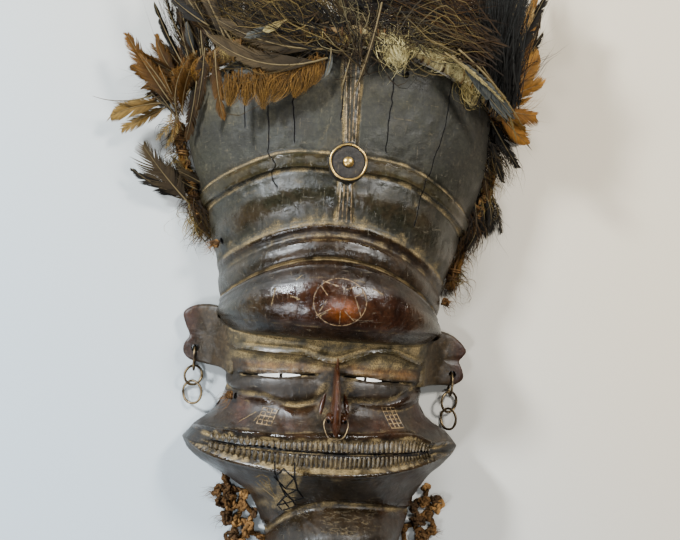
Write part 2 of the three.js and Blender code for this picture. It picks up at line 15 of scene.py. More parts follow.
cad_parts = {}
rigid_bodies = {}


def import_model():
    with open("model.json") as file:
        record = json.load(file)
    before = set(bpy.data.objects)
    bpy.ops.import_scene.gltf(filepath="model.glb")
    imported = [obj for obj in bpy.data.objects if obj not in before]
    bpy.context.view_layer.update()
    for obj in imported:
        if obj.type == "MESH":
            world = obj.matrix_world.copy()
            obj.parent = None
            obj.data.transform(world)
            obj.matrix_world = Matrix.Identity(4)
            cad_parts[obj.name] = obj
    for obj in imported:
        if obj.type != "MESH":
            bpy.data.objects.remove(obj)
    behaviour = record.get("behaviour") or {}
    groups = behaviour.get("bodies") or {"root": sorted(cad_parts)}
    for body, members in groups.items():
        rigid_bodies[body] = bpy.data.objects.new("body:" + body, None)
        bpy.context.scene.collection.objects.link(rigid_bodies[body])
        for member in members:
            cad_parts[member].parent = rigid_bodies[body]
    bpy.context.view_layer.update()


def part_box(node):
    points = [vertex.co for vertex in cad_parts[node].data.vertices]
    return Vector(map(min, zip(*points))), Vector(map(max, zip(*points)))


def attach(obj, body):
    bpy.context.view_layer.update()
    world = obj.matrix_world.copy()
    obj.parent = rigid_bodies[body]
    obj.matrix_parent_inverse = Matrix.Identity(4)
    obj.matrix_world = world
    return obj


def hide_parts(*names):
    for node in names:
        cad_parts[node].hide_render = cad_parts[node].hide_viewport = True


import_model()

# The carver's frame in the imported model: the tack sits on the centre line at the boss's height
BOSS_Y = 210.0
tack_low, tack_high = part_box("boss_tack")
ORIGIN = np.array([(tack_low.x + tack_high.x) * 500, (tack_low.y + tack_high.y) * 500 - BOSS_Y, 0.0])


def rotation(degrees, axis):
    """A turn about an axis, as a 3 by 3 matrix."""
    return np.array(Matrix.Rotation(math.radians(degrees), 3, axis))


# The viewer's eye: how it is turned, what it is aimed at, and how far off it is
YAW, PITCH, ROLL = 5.38, -1.56, -3.84
AIM, EYE_DISTANCE, FOCAL_PIXELS = (7.57, 136.32, 0), 720.0, 900.0
VIEW_TURN = rotation(ROLL, "Z") @ rotation(PITCH, "X") @ rotation(YAW, "Y")
EYE = np.array(AIM) + VIEW_TURN.T @ (0, 0, EYE_DISTANCE)


def place(points):
    """Millimetres in the carver's frame, as metres in the model's frame."""
    return (np.asarray(points, float) + ORIGIN) / 1000


# Shader maths


class Wire:
    """A socket of a material. An expression on it adds the Math nodes that work it out."""

    def __init__(self, paint, socket):
        self.paint = paint
        self.socket = socket

    def math(self, operation, *others):
        values = dict(enumerate((self, *others)))
        return self.paint.node("ShaderNodeMath", {"operation": operation}, values)

    def __add__(self, other):
        return self.math("ADD", other)

    def __sub__(self, other):
        return self.math("SUBTRACT", other)

    def __mul__(self, other):
        return self.math("MULTIPLY", other)

    def __rsub__(self, other):
        return self.paint.node("ShaderNodeMath", {"operation": "SUBTRACT"}, {0: other, 1: self})

    __radd__ = __add__
    __rmul__ = __mul__

    def clamp(self):
        return self.paint.node("ShaderNodeClamp", {}, {"Value": self})

    def band(self, low, high):
        """0 below low, 1 above high, and a smooth step between them."""
        values = {"Value": self, "From Min": low, "From Max": high}
        return self.paint.node("ShaderNodeMapRange", {"interpolation_type": "SMOOTHSTEP"}, values)


class Paint:
    """A material, with one method that adds any node."""

    def __init__(self, name):
        self.material = bpy.data.materials.new(name)
        self.material.use_nodes = True
        self.tree = self.material.node_tree
        self.shader = self.tree.nodes["Principled BSDF"]

    def node(self, kind, settings, values, output=0):
        """Adds a node: its settings first, then a value or a wire for each socket."""
        made = self.tree.nodes.new(kind)
        for key, value in settings.items():
            if key == "stops":
                self.set_stops(made.color_ramp, value)
            else:
                setattr(made, key, value)
        for key, value in values.items():
            self.join(value, made.inputs[key])
        return Wire(self, made.outputs[output])

    def set_stops(self, ramp, stops):
        while len(ramp.elements) < len(stops):
            ramp.elements.new(0.5)
        for element, (position, colour) in zip(ramp.elements, stops):
            element.position = position
            element.color = (*colour, 1)

    def join(self, value, socket):
        if isinstance(value, Wire):
            self.tree.links.new(value.socket, socket)
        elif isinstance(value, tuple) and len(value) == 3 and socket.type == "RGBA":
            socket.default_value = (*value, 1)
        else:
            socket.default_value = value

    def attribute(self, name, colour=False):
        """A value, or a colour, that the mesh holds at its points."""
        return self.node("ShaderNodeAttribute", {"attribute_name": name}, {}, 0 if colour else 2)

    def place(self, scale=(1, 1, 1)):
        """Object coordinates, stretched along each axis."""
        at = self.node("ShaderNodeTexCoord", {}, {}, "Object")
        return self.node("ShaderNodeVectorMath", {"operation": "MULTIPLY"}, {0: at, 1: scale})

    def vector(self, operation, *values, output=0):
        return self.node("ShaderNodeVectorMath", {"operation": operation}, dict(enumerate(values)), output)

    def measure(self, middle):
        """Millimetres in the carver's frame, across and up from a middle."""
        middle = ORIGIN[:2] + middle
        return self.vector("SUBTRACT", self.place((1000, 1000, 0)), (float(middle[0]), float(middle[1]), 0.0))

    def noise(self, scale, detail=4.0, roughness=0.55, vector=None, distortion=0.0):
        values = {"Vector": vector or self.place(), "Scale": scale, "Detail": detail}
        values.update({"Roughness": roughness, "Distortion": distortion})
        return self.node("ShaderNodeTexNoise", {}, values)

    def mix(self, amount, first, second, blend="MIX"):
        """One colour into another."""
        settings = {"data_type": "RGBA", "blend_type": blend}
        return self.node("ShaderNodeMix", settings, {0: amount, 6: first, 7: second}, 2)

    def ramp(self, amount, stops):
        return self.node("ShaderNodeValToRGB", {"stops": stops}, {0: amount})

    def bump(self, height, depth_mm, strength=1.0, under=None):
        """Relief of the given depth. It can lie on top of another."""
        values = {"Height": height, "Distance": depth_mm / 1000, "Strength": strength}
        if under is not None:
            values["Normal"] = under
        return self.node("ShaderNodeBump", {}, values)

    def finish(self, values):
        """Joins the values to the shader's own sockets."""
        for key, value in values.items():
            self.join(value, self.shader.inputs[key])
        return self.material


# Numbers and meshes


def ramp(a, b, x):
    """Eases from 0 to 1 as x goes from a to b: t squared times (3 - 2t)."""
    t = np.clip((x - a) / (b - a), 0, 1)
    return t * t * (3 - 2 * t)


def hump(x, centre, half):
    """A smooth bell of height 1: (1 - t squared) squared."""
    t = np.minimum(1, np.abs(x - centre) / half)
    return (1 - t * t) ** 2


def unit(vectors):
    """Vectors divided by their lengths."""
    return vectors / np.maximum(np.linalg.norm(vectors, axis=-1, keepdims=True), 1e-9)


def run_along(path):
    """How far each point of a path is from its start, measured along it."""
    return np.concatenate([[0], np.cumsum(np.linalg.norm(np.diff(path, axis=0), axis=1))])


def dice(seed):
    """Random draws that come out the same each time."""
    return np.random.default_rng(seed)


def wobble(x, y, scale, seed, octaves=3):
    """Smooth noise from -1 to 1: sums of crossed sine waves whose directions come from the seed."""
    draw = dice(seed)
    total = np.zeros(np.broadcast(x, y).shape)
    for octave in range(octaves):
        for _ in range(4):
            turn, phase = draw.uniform(0, 2 * np.pi, 2)
            along = x * np.cos(turn) + y * np.sin(turn)
            stretch = draw.uniform(0.7, 1.4) * 2 ** octave / scale
            total += np.sin(along * stretch * 2 * np.pi + phase) / 2 ** octave / 4
    return total


def mesh_piece(name, points, faces, attributes=None):
    """A mesh object from millimetre points and faces of 3 or 4 corners (a 4th of -1 is none)."""
    faces = padded(faces)
    kept = faces >= 0
    counts = kept.sum(1)
    mesh = bpy.data.meshes.new(name)
    mesh.vertices.add(len(points))
    mesh.vertices.foreach_set("co", place(points).astype(np.float32).ravel())
    mesh.loops.add(int(counts.sum()))
    mesh.loops.foreach_set("vertex_index", faces[kept].astype(np.int32))
    mesh.polygons.add(len(faces))
    mesh.polygons.foreach_set("loop_start", np.concatenate([[0], np.cumsum(counts)[:-1]]).astype(np.int32))
    mesh.update(calc_edges=True)
    mesh.validate()
    mesh.shade_smooth()
    for key, values in (attributes or {}).items():
        store(mesh, key, values)
    thing = bpy.data.objects.new(name, mesh)
    bpy.context.scene.collection.objects.link(thing)
    return thing


def store(mesh, key, values):
    """Keeps a value, or a colour, for each point of a mesh."""
    values = np.asarray(values, np.float32)
    kind, field = "FLOAT", "value"
    if values.ndim == 2:
        kind, field = "FLOAT_COLOR", "color"
        values = np.column_stack([values, np.ones(len(values), np.float32)])
    layer = mesh.attributes.get(key) or mesh.attributes.new(key, kind, "POINT")
    layer.data.foreach_set(field, values.ravel())


def grid_faces(rows, columns, start=0, closed=False):
    """Quads of a grid of points, row after row. A closed grid joins its last column to its first."""
    i, j = np.meshgrid(np.arange(rows - 1), np.arange(columns if closed else columns - 1), indexing="ij")
    right = (j + 1) % columns
    corners = [i * columns + j, i * columns + right, (i + 1) * columns + right, (i + 1) * columns + j]
    return np.stack([c.ravel() for c in corners], 1) + start


def bridge(first, second):
    """Triangles between two runs of points, whatever their counts, taking the steps of both in turn."""
    steps = [np.arange(1, len(run)) / (len(run) - 1) for run in (first, second)]
    on_first = np.repeat([True, False], [len(first) - 1, len(second) - 1])
    on_first = on_first[np.argsort(np.concatenate(steps), kind="stable")]
    i, j = np.cumsum(on_first), np.cumsum(~on_first)
    along_first = np.stack([first[i - 1], first[i], second[j]], 1)
    along_second = np.stack([first[i], second[j], second[j - 1]], 1)
    return np.where(on_first[:, None], along_first, along_second)


def padded(faces):
    """Faces with four columns, the last of them -1 for a triangle."""
    faces = np.asarray(faces, np.int64)
    if faces.shape[1] == 4:
        return faces
    return np.column_stack([faces, np.full(len(faces), -1)])


def flipped(faces):
    """The same faces, seen from the other side."""
    return np.where(faces[:, 3:] >= 0, faces[:, ::-1], faces[:, [0, 2, 1, 3]])


def capped(rings, sides):
    """The faces of a closed shape whose points come ring after ring, and then one for each end: a
    closed grid, and a fan of triangles at each end."""
    count = rings * sides
    k = np.arange(sides)
    start = np.stack([np.full(sides, count), (k + 1) % sides, k], 1)
    end = np.stack([np.full(sides, count + 1), count - sides + k, count - sides + (k + 1) % sides], 1)
    return np.concatenate([grid_faces(rings, sides, closed=True), padded(start), padded(end)])


def sweep(path, radii, up=(0, 0, 1), sides=8, flat=1.0):
    """A closed tube along a path. At each point it is an ellipse across the path, flat times as
    thick along up as it is sideways."""
    path = np.asarray(path, float)
    along = unit(np.gradient(path, axis=0))
    side = unit(np.cross(np.broadcast_to(up, path.shape), along))
    top = np.cross(along, side) * np.broadcast_to(flat, len(path))[:, None]
    turn = 2 * np.pi * np.arange(sides) / sides
    ring = side[:, None] * np.cos(turn)[:, None] + top[:, None] * np.sin(turn)[:, None]
    ring = path[:, None] + ring * np.broadcast_to(radii, len(path))[:, None, None]
    return np.concatenate([ring.reshape(-1, 3), path[[0, -1]]]), capped(len(path), sides)


def ball(centre, radii, sides=16):
    """An ellipsoid, as a sweep along Z whose rings follow a sine."""
    lie = np.linspace(0.02, np.pi - 0.02, sides // 2 + 2)
    path = np.array(centre) + np.stack([0 * lie, 0 * lie, -np.cos(lie) * radii[2]], 1)
    return sweep(path, np.sin(lie) * radii[0], up=(0, 1, 0), sides=sides, flat=radii[1] / radii[0])


class Heap:
    """Shapes gathered into one mesh, with a tone at each point."""

    def __init__(self):
        self.points = []
        self.faces = []
        self.tones = []
        self.count = 0

    def add(self, shape, tone):
        """Adds a shape, all in one tone or with a row of tones for its points."""
        points, faces = shape
        faces = padded(faces)
        self.points.append(points)
        self.faces.append(np.where(faces >= 0, faces + self.count, -1))
        self.tones.append(np.broadcast_to(tone, (len(points), 3)))
        self.count += len(points)

    def build(self, name):
        points, faces, tones = map(np.concatenate, (self.points, self.faces, self.tones))
        return mesh_piece(name, points, faces, {"tone": tones})


# The carved shell, by the same rows and angles as the frame's

CHIN_Y, CROWN_Y, WALL = -105.0, 293.0, 8.0
EYE_X, MOUTH_Y = 38.0, 4.3
BULGE_LOW, BULGE_HIGH, LOW_BAND_TOP = 83.0, 141.4, 167.0
HIGH_BAND_LOW, HIGH_BAND_TOP = 204.1, 214.7
BOSS_TOP = 88.5
MOUTH_HALF = 105.5
NOSE_X, NOSE_ROOT, NOSE_TIP, NOSE_BACK = 4.0, 69, 24.5, 57.0
CHIN_FALL = (32.0, 12.0)  # how far the crease over the chin falls to the left and to the right
OPEN_TOP = -96.0  # where the hollow starts, above the chin's floor

# Stations: height, half width, depth, bluntness of the outside, and depth of the hollow
STATIONS = np.array([
    [-105, 24, 0, 0.8, -18], [-100, 34, 34, 0.8, -8], [-92, 43, 58, 0.82, 10], [-80, 50, 73, 0.85, 40],
    [-66, 54, 79, 0.88, 52], [-55, 59, 77, 0.9, 50], [-45, 63.5, 62, 0.95, 44], [-39.5, 66, 55, 1.0, 43],
    [-34, 72, 59, 1.05, 45], [-22, 86, 73, 1.3, 56], [-10, 100, 85, 1.7, 68], [2, 105.5, 86, 1.9, 72],
    [12, 99, 84, 1.7, 70], [20, 88, 77, 1.25, 64], [28, 80, 69, 0.92, 57], [38, 77, 63, 0.8, 52],
    [52, 77, 63, 0.75, 52], [66, 79, 66, 0.75, 55], [83, 81, 74, 0.8, 62], [100, 82, 76, 0.88, 64],
    [120, 83, 77, 0.9, 66], [139, 84, 78, 0.92, 67], [155, 87, 78, 0.94, 68], [175, 91.5, 80, 0.95, 71],
    [195, 98.5, 82, 0.95, 73], [217, 106, 83, 0.95, 74], [240, 113, 84, 0.95, 75],
    [262, 119, 84, 0.95, 75], [293, 121, 84, 0.95, 75],
])
HALF_WIDTH, DEPTH, BLUNT, HOLLOW = 1, 2, 3, 4


def station(column, v):
    """A smooth curve through one column of the stations, with harmonic means as its tangents."""
    heights, values = STATIONS[:, 0], STATIONS[:, column]
    slopes = np.diff(values) / np.diff(heights)
    a, b = slopes[:-1], slopes[1:]
    rising = a * b > 0
    middle = np.where(rising, 2 * a * b / np.where(rising, a + b, 1), 0)
    tangents = np.concatenate([slopes[:1], middle, slopes[-1:]])
    i = np.clip(np.searchsorted(heights, v) - 1, 0, len(heights) - 2)
    span = heights[i + 1] - heights[i]
    t = np.clip((v - heights[i]) / span, 0, 1)
    ends = values[i] * (1 + 2 * t) * (1 - t) ** 2 + values[i + 1] * t * t * (3 - 2 * t)
    return ends + span * (tangents[i] * t * (1 - t) ** 2 - tangents[i + 1] * t * t * (1 - t))


def drop(v):
    """How far a row falls from the centre line to its ends."""
    return 36 * ramp(84, 138, v) - 5 * ramp(240, CROWN_Y, v)


def lean(v):
    """How much lower a row runs on the right."""
    return 0.04 * (ramp(70, 110, v) - 0.5 * ramp(240, CROWN_Y, v)) - 0.018 * (1 - ramp(10, 45, v))


def swerve(v):
    """How far a row of the chin is shifted to the right."""
    return 13.5 * ramp(-5, -50, v)


def shell(v, angle, inside=False):
    """The bare shell: x is the half width times sin(angle), and z the depth times cos(angle) to
    the power of the bluntness. A row falls with the square of how far across it is, and leans,
    and the rows of the high band hang a little less."""
    across = np.sin(angle * (1 + 0.35 * hump(v, 4, 26)))
    fall = np.where(across < 0, *CHIN_FALL) * ramp(-8, -38, v) * ramp(CHIN_Y, -70, v)
    low = v - fall * across ** 2
    wide = station(HALF_WIDTH, low) + 1.6 * np.exp(-np.abs(v - 3) / 3)
    x = (wide - (WALL if inside else 0)) * across
    y = low - drop(v) * across ** 2 - lean(v) * x + 5 * hump(v, 207, 38) * ramp(0.05, 0.5, np.abs(across))
    depth = np.maximum(station(HOLLOW if inside else DEPTH, v), 0)
    z = depth * np.abs(np.cos(angle)) ** (station(BLUNT, v) + (0.06 if inside else 0))
    return np.stack(np.broadcast_arrays(x + swerve(low), y, z), -1)


def strap_place(v):
    """The middle and the half width of the strap that runs up the coiffure."""
    below = v < BOSS_Y
    middle = np.where(below, 0.7 - 0.9 * ramp(168, 200, v), 1.2 - 1.9 * ramp(226, 275, v))
    half = np.where(below, 5.3 - 1.2 * ramp(168, 200, v), 3.5 + 2.6 * ramp(226, 285, v))
    return middle, half


def slit_line(x):
    """The height of the slit between the eyelids."""
    return 58.2 - 0.085 * np.abs(x)


def brow_line(x):
    """The height of the ridge of the brows."""
    return 68 + 5 * ramp(0, -24, x) + 9.5 * hump(x, 36, 36)


def cheek_line(x):
    """The crease over the cheeks."""
    return 39.8 - 5 * hump(x, -25, 24) + 10 * ramp(38, 70, x)


def mouth_place(x, y):
    """How far a point is from the middle of the mouth to its upper rim (1) or its lower rim (-1)."""
    out = np.abs(x) / MOUTH_HALF
    upper = 10.4 - 2.4 * ramp(5, -45, x) - 1.6 * ramp(-60, -85, x)
    upper = upper + 1.3 * hump(x, 50, 30) - 5 * ramp(62, 84, x)
    lower = 13.0 * np.clip(1 - np.where(x < 0, 0.6, 1.15) * out ** 2.6, 0.3, 1)
    close = np.clip(1 - out ** 14, 0, 1) ** 0.6
    return (y - MOUTH_Y) / np.maximum(np.where(y > MOUTH_Y, upper, lower) * close, 1.2)


def relief(v, angle, x, y):
    """The carving that stands above or sinks below the shell, in millimetres: a sum of ramps and
    humps across the rows and round the lines of the face."""
    v, angle, x, y = np.broadcast_arrays(v, angle, x, y)
    side = np.abs(x)
    facing = np.cos(angle)
    high = 2.4 * (ramp(-0.9, 0.9, v - HIGH_BAND_LOW) - ramp(-0.9, 0.9, v - HIGH_BAND_TOP))
    high -= 0.8 * (hump(v, HIGH_BAND_LOW - 2, 2.2) + hump(v, HIGH_BAND_TOP + 2, 2.2))
    high += 2.2 * hump(v, 165.5, 5) * (0.3 + 0.7 * facing) + 0.8 * hump(v, 155, 2.6) * ramp(50, 25, side)
    high += 5.5 * hump(v, 147.5, 11) ** 0.5 * (0.35 + 0.65 * facing)
    high += 2.6 * hump(v, 184.5, 15.5) * (0.45 + 0.55 * facing)
    high -= 1.6 * hump(v, BULGE_HIGH, 2.4) * facing
    middle, half = strap_place(v)
    off = np.abs(x - middle)
    high += 1.4 * ramp(half + 1, half - 0.6, off) * ramp(LOW_BAND_TOP, 169, v)
    high -= 0.8 * hump(off, half + 1.6, 1.8) * ramp(LOW_BAND_TOP, 171, v)
    bottom = BULGE_LOW + 10 * (1 - facing) ** 3
    bulge = np.clip((2 * v - bottom - BULGE_HIGH) / (BULGE_HIGH - bottom), -1, 1)
    high += 22 * (1 - bulge * bulge) ** 0.62 * (0.1 + 0.9 * facing)
    # Brows, sockets, swollen lids and the crease over the cheeks
    brow = y - brow_line(x)
    high += 2.6 * hump(brow, 0, 2.6) * ramp(78, 62, side) + 1.1 * hump(brow, 7, 4.5) * ramp(76, 50, side)
    high -= 0.9 * (hump(brow, -3.4, 1.7) + hump(brow, 3.6, 1.8)) * ramp(76, 60, side)
    high -= 2.2 * hump(brow, -7, 5.5) * ramp(76, 60, side) * ramp(3, 14, np.abs(x - NOSE_X))
    slit = y - slit_line(x)
    span = np.abs(side - EYE_X)
    lid = np.clip(np.hypot(span / 36, (slit + 9.5) / 12), 0, 1)
    high += 5.2 * (1 - lid * lid) ** 0.7
    high += 1.6 * hump(slit, 3.2, 3.4) * ramp(34, 24, span)
    high -= 2.4 * hump(slit, 0, 1.7) * ramp(33, 27, span)
    crease = y - cheek_line(x)
    high -= 2.0 * hump(crease, 0, 3.2) * ramp(8, 16, np.abs(x - NOSE_X))
    high += 0.9 * hump(crease, -5.5, 5) * ramp(10, 20, np.abs(x - NOSE_X))
    # Mouth: a sharp rim round a sunk almond
    lip = mouth_place(x, y)
    corner = ramp(MOUTH_HALF - 2, MOUTH_HALF - 22, side)
    high += (2.4 * hump(lip, 1.12, 0.26) + 2.0 * hump(lip, -1.12, 0.26)) * corner
    high -= 3.4 * ramp(1.02, 0.86, np.abs(lip)) * corner
    high -= 2.2 * hump(lip, 0, 0.16) * ramp(MOUTH_HALF - 6, MOUTH_HALF - 22, side)
    # Creases and swellings of the chin
    high -= 2.2 * hump(v, -37.5, 3.2)
    high += 1.2 * hump(v, -46, 7) * ramp(50, 20, side)
    high += 0.26 * wobble(x, y, 34, 5) + 0.5 * wobble(x, y, 120, 6, 2) + 0.1 * wobble(x, y, 11, 9)
    high -= 0.35 * hump(wobble(1.6 * x, y, 46, 8, 2), 0.55, 0.2)
    return high * ramp(CHIN_Y, CHIN_Y + 8, v)


def normals_of(surface, v, angle, turn=0.01, rise=0.5):
    """The outward normals of a surface of rows and angles: a short step across it, crossed with a
    short step up it."""
    across = surface(v, angle + turn) - surface(v, angle - turn)
    up = surface(v + rise, angle) - surface(v - rise, angle)
    return unit(np.cross(across, up))


def outer(v, angle):
    """The finished outside. The relief stands along the shell's own normal, and settles into the
    plane of the back rim. Gives the points and the height of the relief."""
    edge = np.pi / 2 - 0.02
    at = np.clip(angle, -edge, edge)
    here = shell(v, angle)
    inner_here = shell(v, at)
    normal = normals_of(shell, v, at, 1e-3)
    high = relief(v, angle, inner_here[..., 0], inner_here[..., 1])
    settled = ramp(0, 6, here[..., 2])
    shift = normal * (high * settled)[..., None]
    shift[..., 0] += (normal[..., 0] * high) * 0.4 * (1 - settled)
    points = here + shift
    points[..., 2] = np.maximum(points[..., 2], 0)
    return points, high


def find(x, y):
    """The row and angle of the points of the outside at x and y, by repeated correction."""
    x, y = np.broadcast_arrays(np.asarray(x, float), np.asarray(y, float))
    aim_x, aim_y = x.copy(), y.copy()
    v = y.copy()
    angle = np.zeros_like(x)
    for _ in range(40):
        across = np.clip((aim_x - swerve(v)) / station(HALF_WIDTH, v), -0.995, 0.995)
        angle = np.arcsin(across) / (1 + 0.35 * hump(v, 4, 26))
        v = v + 0.7 * (aim_y - shell(v, angle)[..., 1])
        points = outer(v, angle)[0]
        aim_x += 0.3 * (x - points[..., 0])
        aim_y += 0.3 * (y - points[..., 1])
    return v, angle


def on_face(x, y):
    """Points of the outside at x and y, and the outward normals there."""
    v, angle = find(x, y)
    normals = normals_of(lambda row, turn: outer(row, turn)[0], v, angle, rise=0.6)
    return outer(v, angle)[0], normals


def smooth_path(corners, step=1.5):
    """Points about a step apart on a curve through the corners (Catmull and Rom's cubic)."""
    corners = np.asarray(corners, float)
    padded_ends = np.concatenate([2 * corners[:1] - corners[1:2], corners, 2 * corners[-1:] - corners[-2:-1]])
    lengths = np.linalg.norm(np.diff(corners, axis=0), axis=1)
    pieces = []
    for k, length in enumerate(lengths):
        t = np.linspace(0, 1, max(2, int(np.ceil(length / step)) + 1))[:-1, None]
        a, b, c, d = padded_ends[k:k + 4]
        pieces.append(0.5 * (2 * b + (c - a) * t + (2 * a - 5 * b + 4 * c - d) * t ** 2
                             + (3 * b - a - 3 * c + d) * t ** 3))
    return np.concatenate(pieces + [corners[-1:]])


def straight_path(corners, step=1.5):
    """Points about a step apart along straight lines between the corners."""
    corners = np.asarray(corners, float)
    pieces = [np.linspace(a, b, max(2, int(np.ceil(np.linalg.norm(b - a) / step)) + 1))[:-1]
              for a, b in zip(corners[:-1], corners[1:])]
    return np.concatenate(pieces + [corners[-1:]])


def cut_lines(lines, width=0.7, depth=0.5, curved=True):
    """Cutters for lines incised in the outside: thin tubes sunk to the depth along each line."""
    paths = [(smooth_path if curved else straight_path)(line) for line in lines]
    points, normals = on_face(*np.concatenate(paths).T)
    ends = np.cumsum([len(path) for path in paths])[:-1]
    tall = max(1.0, 2 * depth / width)
    shapes = []
    for spots, out in zip(np.split(points, ends), np.split(normals, ends)):
        k = np.arange(len(spots))
        taper = np.clip(np.minimum(k, k[::-1]) / 1.5 + 0.4, 0, 1)
        shapes.append(sweep(spots + out * (tall * width / 2 - depth), width / 2 * taper, out, 6, tall))
    return shapes


# Rows and angles of the fine mesh: each stretch of rows with its own step
ROW_STEPS = [(-105, -96, 0.9), (-96, -52, 1.7), (-52, -22, 1.0), (-22, -12, 1.4), (-12, 20, 0.8),
             (20, 84, 1.0), (84, 94, 1.2), (94, 130, 2.2), (130, 171, 0.9), (171, 196, 2.6),
             (196, 220, 0.9), (220, 293, 3.0)]
COLUMNS = 211
INNER_STEP = 6


def shell_grid():
    """Rows and angles of the outside. The angles are even along the mean of a few rows."""
    rows = np.concatenate([np.arange(a, b, step) for a, b, step in ROW_STEPS] + [[CROWN_Y]])
    fine = np.linspace(-np.pi / 2, np.pi / 2, 4001)
    length = 0
    for v in (2.0, 60.0, 180.0):
        length = length + run_along(shell(v, fine))
    angles = np.interp(np.linspace(0, length[-1], COLUMNS), length, fine)
    return rows, angles


def soften(values, times):
    """Averages each value of a grid with its neighbours, a number of times."""
    for _ in range(times):
        edge = np.pad(values, 1, mode="edge")
        values = (edge[:-2, 1:-1] + edge[2:, 1:-1] + edge[1:-1, :-2] + edge[1:-1, 2:] + 2 * values) / 6
    return values


def srgb(red, green, blue):
    """A colour from 0 to 255 as the eye sees it, made linear."""
    c = np.array([red, green, blue]) / 255
    return tuple(float(x) for x in np.where(c <= 0.04045, c / 12.92, ((c + 0.055) / 1.055) ** 2.4))


def tint(base, colour, amount):
    """Colours of points, mixed toward one colour."""
    amount = np.clip(amount, 0, 1)[..., None]
    return base * (1 - amount) + np.array(colour) * amount


FILM, OLIVE, BROWN = srgb(57, 56, 45), srgb(90, 80, 53), srgb(60, 48, 33)
# The third colour here is a painted highlight, the orange glint in the middle of the forehead.
DARK, RED, PAINTED_HIGHLIGHT = srgb(36, 30, 23), srgb(64, 35, 23), srgb(160, 82, 24)
# The second colour here is painted shade, for the cove under the lip of the low band.
ROLL_BROWN, PAINTED_COVE_SHADE = srgb(52, 40, 31), srgb(46, 33, 22)
LID_BROWN, SOCKET_TAN = srgb(44, 34, 25), srgb(134, 92, 48)


def wood_tone(v, x, y):
    """The wood's own colour at each point: a film of grey on the coiffure, red-brown polish on
    the forehead, cheeks and lower face, and darker browns between them. Some coats are painted
    light: a painted highlight in the middle of the forehead, and painted shade in the cove under
    the low band's lip, in the sunk mouth and towards the right of the coiffure. Each coat is a
    colour and how much of it there is, and covers the coats before it."""
    v, x, y = np.broadcast_arrays(v, x, y)
    patch = wobble(x, y, 42, 21)
    streak = wobble(2.2 * x, 0.5 * y, 30, 22)
    blot = wobble(x, y, 13, 23)
    side, lid, lip = np.abs(x), y - slit_line(x), np.abs(mouth_place(x, y))
    patches = 0.6 + 0.5 * patch
    roll = ramp(141, 144, v) - ramp(160, 165, v)
    bulge, bulge_side = ramp(84, 90, v) * ramp(142, 139, v), np.abs(x - 8)
    cheek = ramp(0, -5, y - cheek_line(x)) * ramp(8, 14, v)
    below = ramp(-6, -11, v)
    coats = [
        (FILM, ramp(164, 170, v) * (0.9 + 0.2 * patch)),
        (OLIVE, ramp(225, 285, v) * (0.4 + 0.4 * patch) * ramp(60, -30, x)),
        (OLIVE, 0.35 * (ramp(-1, 1, v - HIGH_BAND_LOW) - ramp(-1, 1, v - HIGH_BAND_TOP))),
        (DARK, 0.2 * hump(v, 185, 18) * (0.8 + 0.5 * streak)),
        # Painted shade: the coiffure darkens towards its right, where less light falls.
        (DARK, 0.45 * ramp(168, 172, v) * ramp(40, 120, x)),
        (ROLL_BROWN, 0.7 * roll),
        # Painted shade in the cove under the lip of the low band, which faces down.
        (PAINTED_COVE_SHADE, 0.9 * (ramp(154, 157, v) - ramp(163, 168, v)) * ramp(84, 50, side)),
        (FILM, 0.6 * roll * ramp(30, 74, -x)),
        (RED, 0.95 * bulge * ramp(84, 50, bulge_side)),
        (FILM, 0.6 * bulge * ramp(30, 74, bulge_side)),
        (DARK, 0.8 * bulge * np.maximum(ramp(102, 88, v), ramp(118, 134, v))),
        # Painted highlight: an orange glint in the middle of the forehead, where the polish catches the
        # light.
        (PAINTED_HIGHLIGHT, 0.9 * hump(np.hypot((x - 2) / 1.4, y - 106), 0, 11)),
        (OLIVE, 0.75 * ramp(62, 68, v) * ramp(88, 82, v) * ramp(84, 62, side)),
        (LID_BROWN, 0.9 * hump(lid, -9, 13)),
        (SOCKET_TAN, (0.55 + 0.4 * patch) * hump(lid, 6.5, 6) * ramp(76, 60, side)),
        (RED, cheek * (0.5 + 0.6 * patch)),
        (DARK, 0.7 * cheek * ramp(24, 13, v)),
        (DARK, 0.5 * below),
        (FILM, 0.35 * below * ramp(-34, -12, v) * ramp(30, -50, x) * patches),
        (RED, 0.6 * below * ramp(20, 70, side) * patches),
        (FILM, 0.5 * ramp(-50, -75, v) * ramp(60, 20, np.abs(x - 9))),
        # Painted shade in the sunk mouth, behind and between the teeth.
        (DARK, 0.8 * ramp(1.0, 0.85, lip) * ramp(104, 98, side)),
    ]
    tone = np.broadcast_to(np.array(BROWN), v.shape + (3,))
    for colour, amount in coats:
        tone = tint(tone, colour, amount)
    uneven = 1 - 0.6 * ramp(164, 170, v)
    return tone * np.clip(1 + (0.3 * blot + 0.2 * patch) * uneven, 0.4, 1.6)[..., None]


